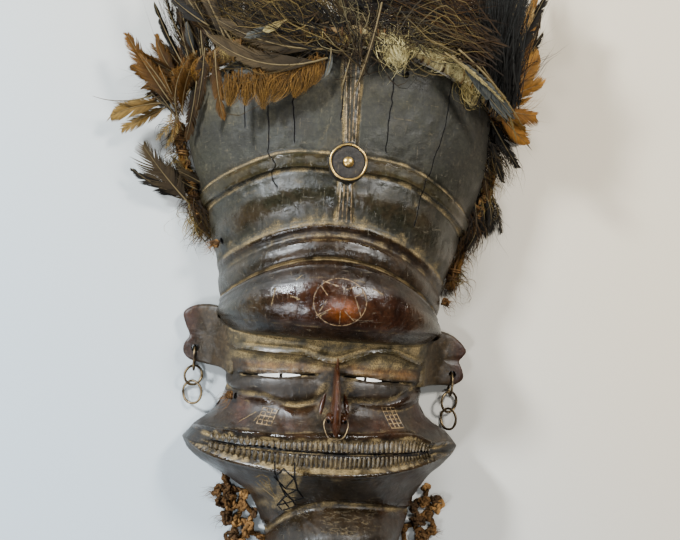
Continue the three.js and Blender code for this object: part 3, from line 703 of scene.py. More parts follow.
def wood_dust(v, x, y, hollow):
    """Ochre dust, where the most of any of these lies: in hollows, on the brows and lids, in the
    creases, beside the nose, in the mouth, on the lattice, and along the grooves and the strap."""
    side, brow, lid = np.abs(x), y - brow_line(x), y - slit_line(x)
    lip = np.abs(mouth_place(x, y))
    middle, half = strap_place(v)
    layers = [
        0.62 * ramp(60, 66, v) * ramp(88, 80, v) * ramp(86, 62, side) * (1 - 0.7 * hump(brow, 0, 4)),
        0.4 * hump(lid, 5, 7) * ramp(76, 50, side),
        0.55 * hump(y - cheek_line(x), 0.5, 4),
        0.5 * hump(np.abs(x - NOSE_X), 9, 10) * ramp(24, 32, y) * ramp(66, 52, y),
        (0.2 + 0.65 * hump(lip, 0.98, 0.16)) * ramp(1.12, 1.0, lip) * ramp(104, 98, side),
        0.8 * ramp(10, 6, np.abs(x + 26 - 0.1 * (y + 24))) * ramp(24, 20, np.abs(y + 24)),
        0.6 * hump(v, -37.5, 4),
        0.7 * hump(v, BULGE_HIGH, 2.2) + 0.6 * hump(v, 167.5, 3.6),
        0.35 * hump(v, 155, 1.5) * ramp(48, 20, side),
        0.45 * hump(v, HIGH_BAND_LOW - 0.9, 2.2) + 0.3 * hump(v, HIGH_BAND_TOP + 1.2, 1.8),
        0.4 * hump(np.abs(x - middle), half + 0.6, 1.6) * ramp(168, 170, v),
        0.4 * ramp(-12, -30, y) * hump(x, -42, 26) * ramp(-60, -40, y),
    ]
    dust = np.clip(hollow * (0.75 - 0.45 * hump(v, 48, 16)), 0, 0.85)
    for layer in layers:
        dust = np.maximum(dust, layer)
    return np.clip(dust * (0.75 + 0.5 * wobble(x, y, 17, 24)), 0, 1)


def wood_gloss(v, x, y):
    """Where hands and cloth have polished it: the bulging forehead, the roll and band, the lips,
    the cheeks and the jaw, but not the sockets or the upper coiffure."""
    patchy = 0.7 + 0.5 * wobble(x, y, 26, 25)
    gloss = 0.9 * ramp(168, 174, v) * ramp(240, 206, v)
    gloss = np.maximum(gloss, 0.8 * ramp(0, -6, y - cheek_line(x)) * ramp(-104, -96, v))
    gloss = np.maximum(gloss, 0.5 * hump(y - brow_line(x), 0, 4))
    gloss = gloss * np.clip(patchy, 0, 1)
    return np.maximum(gloss, (0.62 + 0.12 * patchy) * ramp(84, 92, v) * ramp(169, 163, v))


def wood_surface():
    """The hollow shell as one closed mesh of its outside, its inside, and the strips that join them."""
    rows, angles = shell_grid()
    v, angle = rows[:, None], angles[None, :]
    points, high = outer(v, angle)
    hollow = soften(high, 14) - high
    x, y = points[..., 0], points[..., 1]
    inner_rows = np.linspace(OPEN_TOP, CROWN_Y, len(rows) // INNER_STEP)
    inner = shell(inner_rows[:, None], angles[None, ::INNER_STEP - 2], inside=True)
    count = points.shape[0] * COLUMNS
    near = np.arange(count).reshape(points.shape[:2])
    far = count + np.arange(inner.shape[0] * inner.shape[1]).reshape(inner.shape[:2])
    backs = grid_faces(*inner.shape[:2], start=count)[:, ::-1]
    strips = [bridge(far[0], near[0]), bridge(near[-1], far[-1])]
    strips += [bridge(near[:, 0], far[:, 0]), bridge(far[:, -1], near[:, -1])]
    faces = np.concatenate([grid_faces(len(rows), COLUMNS), backs] + [padded(strip) for strip in strips])
    all_points = np.concatenate([points.reshape(-1, 3), inner.reshape(-1, 3)])
    bare = len(inner.reshape(-1, 3))
    rubbed = np.clip(-hollow * 1.1, 0, 0.5) + 0.5 * wood_gloss(v, x, y)
    # Painted shade in the sunk mouth, which the shader darkens by the cut value.
    sunk = 0.75 * ramp(0.92, 0.78, np.abs(mouth_place(x, y)))
    inner_tone = np.tile(np.array(srgb(88, 68, 48)), (bare, 1))
    values = {
        "tone": np.concatenate([wood_tone(v, x, y).reshape(-1, 3), inner_tone]),
        "dust": np.concatenate([wood_dust(v, x, y, hollow).ravel(), np.full(bare, 0.3)]),
        "worn": np.concatenate([rubbed.ravel(), np.zeros(bare)]),
        "cut": np.concatenate([sunk.ravel(), np.zeros(bare)]),
        "known": np.ones(len(all_points)),
    }
    return mesh_piece("carved_wood", all_points, faces, values)


def carve(piece, shapes, operation, values):
    """Joins closed shapes to a piece, or cuts them from it. Points where surfaces meet take the
    mean of the values of their neighbours."""
    tools = bpy.data.collections.new("tools")
    for k, shape in enumerate(shapes):
        tool = mesh_piece(f"tool_{k}", *shape, value_rows(values, shape[0]))
        bpy.context.scene.collection.objects.unlink(tool)
        tools.objects.link(tool)
    bpy.context.scene.collection.children.link(tools)
    change = piece.modifiers.new("carve", "BOOLEAN")
    change.operation = operation
    change.operand_type = "COLLECTION"
    change.collection = tools
    change.solver = "MANIFOLD"
    apply_modifiers(piece)
    for tool in list(tools.objects):
        bpy.data.objects.remove(tool)
    bpy.data.collections.remove(tools)
    fill_unknown(piece.data)


def value_rows(values, points):
    """A row for each point. A value can be a function of the points."""
    rows = {}
    for key, value in values.items():
        if callable(value):
            rows[key] = value(points)
        else:
            rows[key] = np.broadcast_to(value, (len(points),) + np.shape(value))
    return rows


def apply_modifiers(piece):
    """Replaces a piece's mesh with what its modifiers make of it."""
    graph = bpy.context.evaluated_depsgraph_get()
    made = bpy.data.meshes.new_from_object(piece.evaluated_get(graph), depsgraph=graph)
    piece.modifiers.clear()
    piece.data = made


def fetch(mesh, key):
    """The values that a mesh holds at its points."""
    layer = mesh.attributes[key]
    if layer.data_type == "FLOAT":
        values = np.empty(len(mesh.vertices), np.float32)
        layer.data.foreach_get("value", values)
        return values
    values = np.empty(len(mesh.vertices) * 4, np.float32)
    layer.data.foreach_get("color", values)
    return values.reshape(-1, 4)[:, :3]


def fill_unknown(mesh):
    """Gives the points that a cut has made the mean of their neighbours' values."""
    ends = np.empty(len(mesh.edges) * 2, np.int32)
    mesh.edges.foreach_get("vertices", ends)
    ends = ends.reshape(-1, 2)
    both = np.concatenate([ends, ends[:, ::-1]])
    for _ in range(4):
        known = fetch(mesh, "known") > 0.5
        if known.all():
            break
        use = ~known[both[:, 0]] & known[both[:, 1]]
        target, source = both[use, 0], both[use, 1]
        weight = np.bincount(target, minlength=len(known))
        filled = weight > 0
        for key in ("tone", "dust", "worn", "cut", "known"):
            values = fetch(mesh, key)
            for column in values.reshape(len(known), -1).T:
                total = np.bincount(target, column[source], minlength=len(known))
                column[filled] = total[filled] / weight[filled]
            store(mesh, key, values)


# What stands on the shell: ears, nose, boss and teeth

EAR_BACK, EAR_HOLE = 3.5, 2.8
EARS = {
    -1: [(-66, 99), (-82, 101), (-93, 102.7), (-104.7, 101), (-112.6, 95.2), (-110.5, 86), (-107, 77.7),
         (-110.6, 71), (-110.8, 64.5), (-105.7, 59), (-95, 56.6), (-82, 54.5), (-66, 53)],
    1: [(66, 96), (82, 94.4), (94.6, 92.2), (104.6, 87.2), (112, 79), (109.5, 73.5), (107, 69.5),
        (109.8, 63), (110.8, 56), (104, 51), (92, 50), (80, 49.2), (66, 48)],
}
EAR_MIDDLES = {-1: (-92, 79), 1: (92, 71)}
EAR_HOLES = {-1: (-102, 68), 1: (101.5, 59.5)}
# An ear's rings from back to front: how wide each is, and its height
EAR_LAYERS = [(0.6, 0), (0.93, 0.2), (0.985, 1.2), (1.0, 3.0), (1.0, 5.0), (0.985, 6.8), (0.95, 7.7),
              (0.9, 8.1), (0.8, 8.3), (0.65, 8.4), (0.5, 8.3), (0.35, 8.2), (0.2, 8.2)]


def ear(side):
    """A thick flap with rounded edges. Its outline is a smooth curve, drawn in towards the middle
    ring by ring, and its face rises to meet the side of the head. Its root ends inside the wall."""
    corners = np.array(EARS[side], float)
    if side > 0:
        corners = corners[::-1]
    outline = smooth_path(np.concatenate([corners, corners[:1]]), 2.0)[:-1]
    middle = np.array(EAR_MIDDLES[side], float)
    rings = []
    for scale, height in EAR_LAYERS:
        ring = middle + (outline - middle) * scale
        out = np.abs(ring[:, 0])
        notch = hump(np.hypot((out - 103) / 2.2, ring[:, 1] - middle[1] + 0.5), 0, 4.5)
        front = ramp(4, 8, height)
        z = EAR_BACK + height + front * (3 * ramp(97, 84, out) + 16 * ramp(93, 72, out) ** 2 - 1.6 * notch)
        z += front * 0.5 * wobble(ring[:, 0], ring[:, 1], 14, 31 + side)
        root = (2 + 4 * ramp(22, 12, z)) * np.clip((80 - out) / 14, 0, 1)
        rings.append(np.column_stack([ring[:, 0] + side * root, ring[:, 1], z]))
    poles = np.array([[*middle, EAR_BACK], [*middle, EAR_BACK + EAR_LAYERS[-1][1] + 1.2]])
    return np.concatenate(rings + [poles]), capped(len(rings), len(outline))


def ear_tone(points):
    """Red-brown at the ears' edges, grey over the flat of them and olive next to the head."""
    x, y = points[:, 0], points[:, 1]
    side = np.abs(x)
    tone = tint(np.array(srgb(74, 42, 27)), srgb(72, 60, 42), 0.9 * ramp(108, 96, side))
    tone = tint(tone, OLIVE, 0.6 * ramp(80, 70, side))
    return tone * (1 + 0.25 * wobble(x, y, 16, 33))[:, None]


def ear_dust(points):
    """More dust next to the head."""
    return 0.1 + 0.35 * ramp(80, 68, np.abs(points[:, 0]))


def nose():
    """The blade of the nose, narrow between the eyes, with a tip and two small wings."""
    y = np.linspace(NOSE_ROOT, NOSE_TIP, 24)
    t = (NOSE_ROOT - y) / (NOSE_ROOT - NOSE_TIP)
    half = np.interp(t, [0, 0.15, 0.5, 0.8, 0.93, 1], [1.2, 1.9, 2.8, 4.2, 4.5, 3.0])
    ridge = np.interp(t, [0, 0.15, 0.5, 0.8, 0.93, 1], [68.5, 72.5, 81.5, 89.5, 91, 87])
    path = np.stack([NOSE_X + 0.6 * t, y, (ridge + NOSE_BACK) / 2], 1)
    blade = sweep(path, half, (0, 0, 1), 20, (ridge - NOSE_BACK) / 2 / half)
    wings = [ball((NOSE_X + 0.6 + side * 4.7, 29.0, 80.5), (3.2, 4.2, 6.5), 18) for side in (-1, 1)]
    folds = []
    for side in (-1, 1):
        corners = [(NOSE_X + side * 6.6, 45), (NOSE_X + side * 8.6, 38), (NOSE_X + side * 9.8, 30)]
        flat_path = smooth_path(corners, 1.5)
        points, normals = on_face(flat_path[:, 0], flat_path[:, 1])
        radii = 1.9 * np.sin(np.linspace(0.25, np.pi - 0.5, len(points)))
        folds.append(sweep(points - normals * 0.4, radii, normals, 10, 0.8))
    return [blade] + wings + folds


# The boss's rings from its middle outwards: radius, and height above its top
BOSS_RINGS = [(3.0, 0.1), (4.4, 0.35), (5.8, 0.45), (7.2, 0.45), (8.6, 0.45), (10.0, 0.4), (11.0, 0.25),
              (11.5, 0.0), (12.6, 0.0), (13.2, 0.0), (13.5, -0.3), (13.7, -1.0), (13.8, -2.0), (14.4, -8.0)]


def boss():
    """The round boss: a flat disc whose middle is rough, dark resin, as rings of a radius and a height."""
    turn = 2 * np.pi * np.arange(72) / 72
    radii, rise = np.array(BOSS_RINGS).T[:, :, None]
    x, y = radii * np.cos(turn), BOSS_Y + radii * np.sin(turn)
    rough = 0.3 * wobble(x, y, 5, 41) * ((radii > 4) & (radii < 11))
    grid = np.stack([x, y, BOSS_TOP + rise + rough], -1).reshape(-1, 3)
    poles = np.array([[0, BOSS_Y, BOSS_TOP + 0.1], [0, BOSS_Y, BOSS_TOP - 8.0]])
    return np.concatenate([grid, poles]), flipped(capped(len(BOSS_RINGS), len(turn)))


def teeth(upper):
    """A row of filed teeth: spindles laid across the sunk mouth from its rim to the slit. They are
    broad beads on the left, and narrower ribs towards the right."""
    draw = dice(51 if upper else 52)
    fine = np.linspace(-85, 79, 800)
    pitch = 3.7 + 0.7 * ramp(-30, -42, fine) - 1.0 * ramp(44, 62, fine)
    if not upper:
        pitch = pitch * 0.92
    run = np.cumsum(1 / pitch) * (fine[1] - fine[0])
    places = np.interp(np.arange(0.5, run[-1]), run, fine)
    start, stop = (0.1, 0.83) if upper else (-0.12, -0.8)
    middle = on_face(places, np.full_like(places, MOUTH_Y + (5.0 if upper else -4.0)))[0]
    gaps = np.linalg.norm(np.gradient(middle, axis=0), axis=1)
    tilt = (0.4 * draw.normal(size=len(places)) + 2.4 * ramp(35, 80, places)) * (1 if upper else 0.6)
    heights = MOUTH_Y + np.linspace(start, stop, 7) * mouth_reach(places, upper)[:, None]
    lines = on_face(places[:, None] + tilt[:, None] * np.linspace(-0.5, 0.5, 7), heights)
    shapes = []
    for x, gap, points, normals in zip(places, gaps, *lines):
        bead = ramp(-28, -44, x) * draw.uniform(0.7, 1.0)
        swell = np.array([0.55, 0.9, 1, 1, 1, 0.92, 0.5])
        beaded = np.array([0.3, 0.7, 1, 1.08, 0.95, 0.6, 0.25])
        wide = gap * draw.uniform(0.36, 0.44) * (swell * (1 - bead) + beaded * bead)
        tall = draw.uniform(1.5, 2.0) + 0.9 * bead
        shapes.append(sweep(points - normals * 0.35, wide, normals, 8, tall / (gap * 0.44)))
    return shapes


def mouth_reach(x, upper):
    """How far the rim is from the middle of the mouth at x: the inverse of mouth_place."""
    step = 4.0 if upper else -4.0
    return step / mouth_place(x, MOUTH_Y + step)


# What is cut into the shell


def slit(low_x, high_x, whole, half_height):
    """A cutter for a part of the opening between the eyelids, in line with the view. The height of
    the whole opening follows the sine of how far along it is, and this is the part from low_x to
    high_x."""
    x = np.linspace(low_x, high_x, 12)
    tall = half_height * np.sin(np.pi * (x - whole[0]) / (whole[1] - whole[0])) ** 0.7 + 0.05
    middle = on_face(x, slit_line(x))[0]
    toward = unit(EYE - middle) * 16
    up = np.array([0, 1, 0]) * tall[:, None]
    low, high = middle - up, middle + up
    points = np.stack([low - toward, low + toward, high + toward, high - toward], 1).reshape(-1, 3)
    last = len(points)
    ends = [[3, 2, 1, 0], [last - 4, last - 3, last - 2, last - 1]]
    return points, np.concatenate([grid_faces(len(x), 4, closed=True), ends])[:, ::-1]


def bore(v, degrees, radius):
    """A cutter for a round hole through the wall."""
    angle = math.radians(degrees)
    centre = outer(np.array([v]), np.array([angle]))[0][0]
    path = centre + normals_of(shell, v, angle) * np.linspace(-14, 14, 4)[:, None]
    return sweep(path, radius, (0.1, 1, 0.05), 16)


def straight_hole(x, y, heights, radius, sides):
    """A cutter for a round hole along Z."""
    return sweep([[x, y, z] for z in heights], radius, (0, 1, 0), sides)


# Tie holes: by angle round the crown, and by row and angle at the sides
CROWN_HOLES = [-70, -46, -19, 19, 46, 70]
SIDE_HOLES = {"left_temple": (178, -68), "left_cheek": (36, -61), "right_temple": (154, 74)}
TIE_RADIUS = 2.4
# The openings of the eyes, from corner to corner
LEFT_EYE, RIGHT_EYE = (-53, -21.6), (18.6, 38.8)


def openings():
    """Cutters for all that is open: the eyes, each with a bridge left in it, the tie holes, the
    worn hole at the crown, the ears' and the nostrils, the mouth, and the tack's own hole."""
    cutters = [slit(-52.5, -37, LEFT_EYE, 1.35), slit(-34.8, -22, LEFT_EYE, 1.35)]
    cutters += [slit(19, 24.8, RIGHT_EYE, 1.2), slit(26.8, 38.4, RIGHT_EYE, 1.2)]
    cutters += [bore(CROWN_Y - 6, angle, TIE_RADIUS) for angle in CROWN_HOLES]
    cutters += [bore(v, angle, TIE_RADIUS) for v, angle in SIDE_HOLES.values()]
    cutters.append(straight_hole(38, 278, (73, 78, 86, 96), 2.9, 16))
    cutters += [straight_hole(x, y, (-4, 4, 12, 26), EAR_HOLE, 20) for x, y in EAR_HOLES.values()]
    cutters += [ball((NOSE_X + 0.6 + side * 6.0, 27.2, 86.0), (1.35, 1.9, 4.0), 14) for side in (-1, 1)]
    cutters += mouth_openings()
    cutters.append(straight_hole(0, BOSS_Y, (80, 84, 90, 94), 1.5, 12))
    return cutters


# Drying cracks in the coiffure, each from its top down
CRACKS = [
    [(-58.9, 250), (-56.9, 231.5), (-56, 216), (-54, 211.4), (-50.9, 206.9), (-52.3, 202),
     (-52.3, 196.5), (-47.7, 190)],
    [(-40.6, 286), (-40.9, 258), (-41.4, 251), (-39.8, 238), (-38.1, 221.9)],
    [(-75.6, 250), (-74.3, 232)],
    [(29.8, 289), (28.6, 256), (27.3, 237), (27.5, 219.7)],
    [(75, 285), (73.7, 263), (71.5, 248), (67.9, 231), (63, 212.3), (58, 199.6), (55.8, 185), (53.1, 169.6)],
    [(-7, 288), (-6, 262), (-6.8, 240)],
]


def split_lines():
    """The cracks, which wander a little across the grain."""
    draw = dice(62)
    lines = []
    for corners in CRACKS:
        line = smooth_path(corners, 5.0)
        line[1:-1, 0] += draw.normal(size=len(line) - 2) * 0.35
        lines.append(line)
    return lines


# Scored in the forehead: a ring, the cross of flared arms in it, and stray scratches
RING_MIDDLE, RING_REACH = (0.0, 111.5), (18.4, 16.4)
CROSS = [
    [(-12.4, 13.9), (-2.1, 10.9)], [(4.0, 9.0), (10.5, 11.8)], [(2.1, 10.3), (2.1, 7.2)],
    [(16.0, 7.7), (10.5, 4.7)], [(10.1, 4.1), (15.0, -8.3)], [(0.7, -6.7), (0.7, -14.7)],
    [(-14.1, 10.8), (-9.2, 4.4)], [(-9.4, 1.0), (-13.6, -7.0)],
    [(-6.3, -5.1), (-15.4, -10.1)], [(3.7, -6.2), (10.5, -12.4)],
]
SCRATCHES = [[(-31, 125), (-27, 128.5)], [(-34, 113.5), (-28, 111.5)], [(-15, 100), (-9, 104)],
             [(-47, 106), (-45, 118)], [(23, 122), (30, 119)]]


def ring_lines():
    """The ring in four arcs, and the cross, in the carver's frame."""
    lines = []
    for start in range(4):
        arc = np.radians(np.linspace(start * 90 + 4, start * 90 + 86, 9))
        lines.append(RING_MIDDLE + np.stack([np.cos(arc), np.sin(arc)], 1) * RING_REACH)
    return lines + [np.add(RING_MIDDLE, line) for line in CROSS]


def net_lines(corners, columns, rows):
    """The lines of a small grid between four corners."""
    a, b, c, d = np.array(corners, float)
    lines = [np.array([a + (b - a) * t, d + (c - d) * t]) for t in np.linspace(0, 1, columns + 1)]
    lines += [np.array([a + (d - a) * t, b + (c - b) * t]) for t in np.linspace(0, 1, rows + 1)]
    return lines


# The nets scored on the cheeks: their corners, and how many meshes they have across and up
CHEEK_GRIDS = [
    ([(-47, 31), (-35.6, 30.8), (-40.8, 19.7), (-50.2, 20.3)], 3, 4),
    ([(39.3, 35.9), (48.1, 36.3), (57.5, 22), (45.8, 22.2)], 3, 5),
]
# The crossed cuts below the mouth on the left, then the hooked strokes beside them
CHIN_LATTICE = [
    [(-36.8, -3.5), (-36, -12), (-31.5, -22), (-26.6, -31.6), (-31.5, -42), (-27.5, -45.8)],
    [(-22.9, -3), (-22.4, -13), (-18.8, -25), (-13.3, -32.6), (-19.8, -35.6), (-31.5, -42)],
    [(-30.3, -7.6), (-22.4, -14.7), (-27.3, -25.3), (-36, -15.8), (-30.3, -7.6)],
    [(-27.3, -25.3), (-18.8, -25)], [(-30.5, -24.5), (-23.1, -33), (-13.3, -32.6)],
    [(-18.8, -25), (-26.6, -31.6)], [(-23.1, -33), (-17.8, -40.2), (-27.5, -45.8)],
    [(-27.1, -31.6), (-19.8, -35.6)], [(-28, -36), (-22.5, -43)],
]
HOOK_MARKS = [
    [(-48.8, -18.6), (-45.4, -15.4), (-40.6, -17.4), (-38.8, -23), (-41.4, -25.6), (-44.6, -22.8),
     (-46.4, -20.6)],
    [(-44.8, -19.4), (-41.8, -21.0), (-41.6, -23.4)], [(-38.4, -25), (-36, -30.2), (-33.2, -36)],
    [(-48.2, -23.6), (-44.6, -27.2), (-40.4, -30.6), (-34.1, -35.4)],
]
CHEEK_SCRATCHES = [[(-63.6, 19.6), (-51.8, 27.3)], [(-52.9, 21.5), (-50.6, 24.6)]]


def chin_marks():
    """Wavy lines in an oval patch, and short cuts that roughen the front of the chin."""
    draw = dice(61)
    lines = []
    for k in range(5):
        t = np.linspace(0, 1, 7)
        x = -18 + 10 * t
        lines.append(np.stack([x, -43.5 - 1.5 * k + 0.7 * np.sin(9 * t + k) + 3 * t], 1))
    for _ in range(90):
        x, y = draw.uniform(-2, 40), draw.uniform(-54, -41.5)
        long = draw.uniform(2, 6)
        lines.append(np.array([(x, y), (x + long, y + draw.normal() * 0.9)]))
    return lines


def strap_lines():
    """Four fine lines along each part of the strap."""
    lines = []
    for low, high in ((168.5, 194.5), (225.5, 290.0)):
        v = np.linspace(low, high, 6)
        middle, half = strap_place(v)
        for out in (-0.92, -0.34, 0.28, 0.9):
            lines.append(np.stack([middle + out * half, v], 1))
    return lines


def carved_wood():
    """The whole of the carving, as one closed piece."""
    wood = wood_surface()
    brown = {"tone": BROWN, "dust": 0.15, "worn": 0.3, "cut": 0.0, "known": 1.0}
    tooth = {**brown, "tone": srgb(66, 56, 40), "dust": 0.32, "worn": 0.5}
    resin = {**brown, "tone": srgb(44, 36, 30), "dust": 0.12, "worn": 0.1}
    carve(wood, [ear(-1), ear(1)], "UNION", {**brown, "tone": ear_tone, "dust": ear_dust})
    carve(wood, nose(), "UNION", {**brown, "tone": srgb(84, 46, 27), "dust": 0.03, "worn": 0.9})
    carve(wood, teeth(True) + teeth(False), "UNION", tooth)
    carve(wood, [boss()], "UNION", resin)
    # The walls of the holes, cracks and deep cuts below are painted near black: painted shade.
    dark = {**brown, "tone": DARK, "dust": 0.0, "worn": 0.0, "cut": 1.0}
    lids = [np.stack([x, slit_line(x)], 1) for x in (np.linspace(-64, -11, 18), np.linspace(10, 53, 15))]
    carve(wood, openings(), "DIFFERENCE", dark)
    carve(wood, cut_lines(split_lines(), 0.7, 2.2), "DIFFERENCE", dark)
    carve(wood, cut_lines(lids, 1.1, 1.2), "DIFFERENCE", dark)
    carve(wood, cut_lines(CHIN_LATTICE, 1.3, 0.9, False), "DIFFERENCE", {**dark, "cut": 0.9})
    pale = {**brown, "tone": srgb(120, 98, 66), "dust": 0.75, "worn": 0.0}
    nets = [line for corners, columns, rows in CHEEK_GRIDS for line in net_lines(corners, columns, rows)]
    scratches = cut_lines(SCRATCHES + CHEEK_SCRATCHES, 0.5, 0.22) + cut_lines(HOOK_MARKS, 0.7, 0.45)
    roughened = {**pale, "tone": srgb(70, 58, 42), "dust": 0.3}
    carve(wood, cut_lines(ring_lines(), 0.5, 0.3), "DIFFERENCE", {**brown, "tone": RED, "dust": 0.0})
    carve(wood, cut_lines(nets, 0.75, 0.4, False), "DIFFERENCE", {**brown, "dust": 0.1})
    carve(wood, scratches, "DIFFERENCE", pale)
    carve(wood, cut_lines(chin_marks(), 0.45, 0.3), "DIFFERENCE", roughened)
    carve(wood, cut_lines(strap_lines(), 0.8, 0.5), "DIFFERENCE", {**brown, "tone": FILM})
    return wood


# Parts of the slit between the teeth: from x to x, half its height, and its depth
MOUTH_GAPS = [(-84, -58, 0.5, 3.5), (-57, -26, 1.3, 3.5), (-24, -6, 1.0, 3.5), (-5, 20, 1.1, 3.5),
              (22, 47, 2.1, 13), (48, 77, 1.3, 3.5)]


def mouth_openings():
    """The slit between the teeth, part by part. The widest is cut right through the wood."""
    shapes = []
    for low, high, half, deep in MOUTH_GAPS:
        x = np.linspace(low, high, 14)
        centre, normals = on_face(x, np.full_like(x, MOUTH_Y))
        radii = half * np.sin(np.linspace(0.25, np.pi - 0.25, 14)) ** 0.5
        shapes.append(sweep(centre - normals * (deep - 2.5), radii, normals, 8, deep / half))
    return shapes


# Feathers

# Colours of a feather: at its shaft's foot, at its tip, and at the ends of its barbs
RUST = (srgb(44, 30, 12), srgb(98, 66, 23), srgb(152, 108, 42))
OCHRE = (srgb(92, 70, 34), srgb(146, 118, 62), srgb(184, 156, 96))
FAWN = (srgb(100, 66, 24), srgb(166, 116, 48), srgb(216, 170, 94))
SOOT = (srgb(12, 10, 8), srgb(26, 22, 18), srgb(58, 52, 42))
SMOKE = (srgb(44, 36, 25), srgb(70, 59, 42), srgb(100, 87, 64))
STEEL = (srgb(32, 34, 36), srgb(74, 79, 82), srgb(136, 140, 138))
DOWN = (srgb(132, 118, 74), srgb(170, 158, 110), srgb(200, 190, 148))
STRAW = (srgb(64, 52, 26), srgb(124, 104, 56), srgb(176, 154, 96))
UMBER = (srgb(22, 16, 9), srgb(52, 37, 18), srgb(110, 80, 40))
FRINGE = (srgb(56, 40, 17), srgb(118, 86, 37), srgb(172, 134, 70))
QUILL = srgb(168, 152, 116)
# Feathers whose parts take after different ones
SINGED = (RUST[1], SMOKE[0], RUST[2])
BUFF = (OCHRE[1], OCHRE[2], DOWN[2])
CREAM = (FAWN[1], FAWN[2], DOWN[2])
RUSSET = (FAWN[0], FAWN[1], RUST[2])
CHESTNUT = (UMBER[1], UMBER[2], RUST[1])
ASH = (STEEL[0], STEEL[1], SMOKE[1])
HAY = (UMBER[1], STRAW[1], STRAW[2])
INKY = (SOOT[0], SOOT[1], STEEL[1])

# How a kind of feather grows: how far apart its barbs are, how wide each is for that, their angle
# to the shaft, how much they curl and fray, how often the vane splits, how far the parts between
# splits turn away, how fluffy it is, and its bare foot
GROWTH = ("pitch", "fill", "angle", "curl", "fray", "split", "turn", "fluff", "bare")
KINDS = {
    "vane": (0.75, 1.9, 36, 0.5, 0.02, 0.04, 0.07, 0.01, 0.1),
    "split": (0.8, 1.7, 40, 0.6, 0.06, 0.11, 0.13, 0.03, 0.1),
    "hackle": (0.8, 1.3, 24, 0.1, 0.12, 0.3, 0.16, 0.06, 0.04),
    "plume": (0.8, 0.8, 50, 1.1, 0.3, 0.5, 0.25, 0.25, 0.05),
}
# Where feathers that rise over the wood are eased, how far past it they may go, and over what rise
CEILING, HEADROOM, EASE = 92, 14, 22


def bow(t, root, middle, tip):
    """A quadratic curve from root to tip, which leans towards the middle point."""
    return (1 - t) ** 2 * root + 2 * t * (1 - t) * middle + t * t * tip


def feather(heap, root, tip, width, colours, kind="split", bend=0.0, lift=0.0, roll=0.0, uneven=1.0, seed=0):
    """One feather. Its shaft is a quadratic curve from root to tip, pushed sideways by bend and up
    by lift, both as parts of its length. Barbs run out from it on both sides as flat ribbons that
    curve towards the tip and overlap, so that they make two arched vanes with splits in them."""
    draw = dice(seed)
    grow = dict(zip(GROWTH, KINDS[kind]))
    root, tip = np.array(root, float), np.array(tip, float)
    length = np.linalg.norm(tip - root)
    flat_side = unit(np.cross((0, 0, 1), tip - root))
    flat_up = unit(np.cross(tip - root, flat_side))
    turn = math.radians(roll)
    middle = (root + tip) / 2 + flat_side * bend * length + flat_up * lift * length
    side_at = flat_side * math.cos(turn) + flat_up * math.sin(turn)
    t = np.linspace(0, 1, 12)
    shaft = bow(t[:, None], root, middle, tip) + flat_up * 0.3
    quill = sweep(soft_cap(shaft), (0.8 - 0.65 * t) * (0.5 + length / 170), (0, 0, 1), 5)
    heap.add(quill, tint(np.array(colours[0]), QUILL, 0.5))
    count = max(12, int(length / grow["pitch"]))
    u = np.tile(grow["bare"] + (0.985 - grow["bare"]) * (np.arange(count) + 0.5) / count, 2)
    side = np.repeat([-1.0, 1.0], count)
    rise = (u - grow["bare"]) / (1 - grow["bare"])
    shape = np.sin(np.pi * np.clip(rise, 0, 1) ** 0.72) ** 0.5 * (0.75 + 0.25 * rise)
    reach = width * shape * np.where(side > 0, uneven, 2 - uneven) * (1 + 0.04 * draw.normal(size=2 * count))
    clump = np.cumsum(draw.uniform(size=2 * count) < grow["split"])
    size = np.maximum(np.bincount(clump), 1)
    centre = (np.bincount(clump, u) / size)[clump]
    away = (draw.normal(size=len(size)) * grow["turn"])[clump]
    reach = reach * (1 + 0.1 * draw.normal(size=len(size)))[clump]
    stray = draw.normal(size=2 * count) * grow["fray"]
    angle = np.radians(grow["angle"]) * (1.15 - 0.55 * rise) * (1 + stray + away)
    s = np.linspace(0, 1, 5)[None, :]
    reach, angle = reach[:, None], angle[:, None]
    fluff = draw.normal(size=(2 * count, 1)) * grow["fluff"]
    out = reach * (np.sin(angle) * s - 0.16 * grow["curl"] * s * s) / np.sin(np.radians(50))
    along = reach * (np.cos(angle) * s + 0.3 * grow["curl"] * s * s)
    along = along + (centre - u)[:, None] * length * 0.3 * s ** 2
    high = reach * (0.26 * s - 0.36 * s * s + fluff * s * s * 1.5) + draw.normal(size=(2 * count, 1)) * 0.06
    high = high + away[:, None] * reach * s * 0.8
    foot = bow(u[:, None], root, middle, tip)
    tangent = unit(bow(np.clip(u + 0.01, 0, 1)[:, None], root, middle, tip) - foot)
    across = side_at - tangent * (tangent @ side_at)[:, None]
    normal = np.cross(tangent, across)
    spine = foot[:, None] + tangent[:, None] * along[..., None]
    spine = spine + across[:, None] * (side[:, None] * out)[..., None] + normal[:, None] * high[..., None]
    spread = grow["pitch"] * grow["fill"] * (1 - 0.85 * s ** 3) * np.ones_like(reach) / 2
    ribbons(heap, spine, tangent[:, None] * spread[..., None], shades(draw, colours, rise, s, clump, side))


def soft_cap(points):
    """Keeps points off the floor, and eases those over the ceiling by a hyperbolic tangent."""
    points = points.copy()
    over = np.maximum(points[..., 2] - CEILING, 0)
    low = np.minimum(points[..., 2], CEILING)
    points[..., 2] = np.maximum(low + HEADROOM * np.tanh(over / EASE), 0.6)
    return points


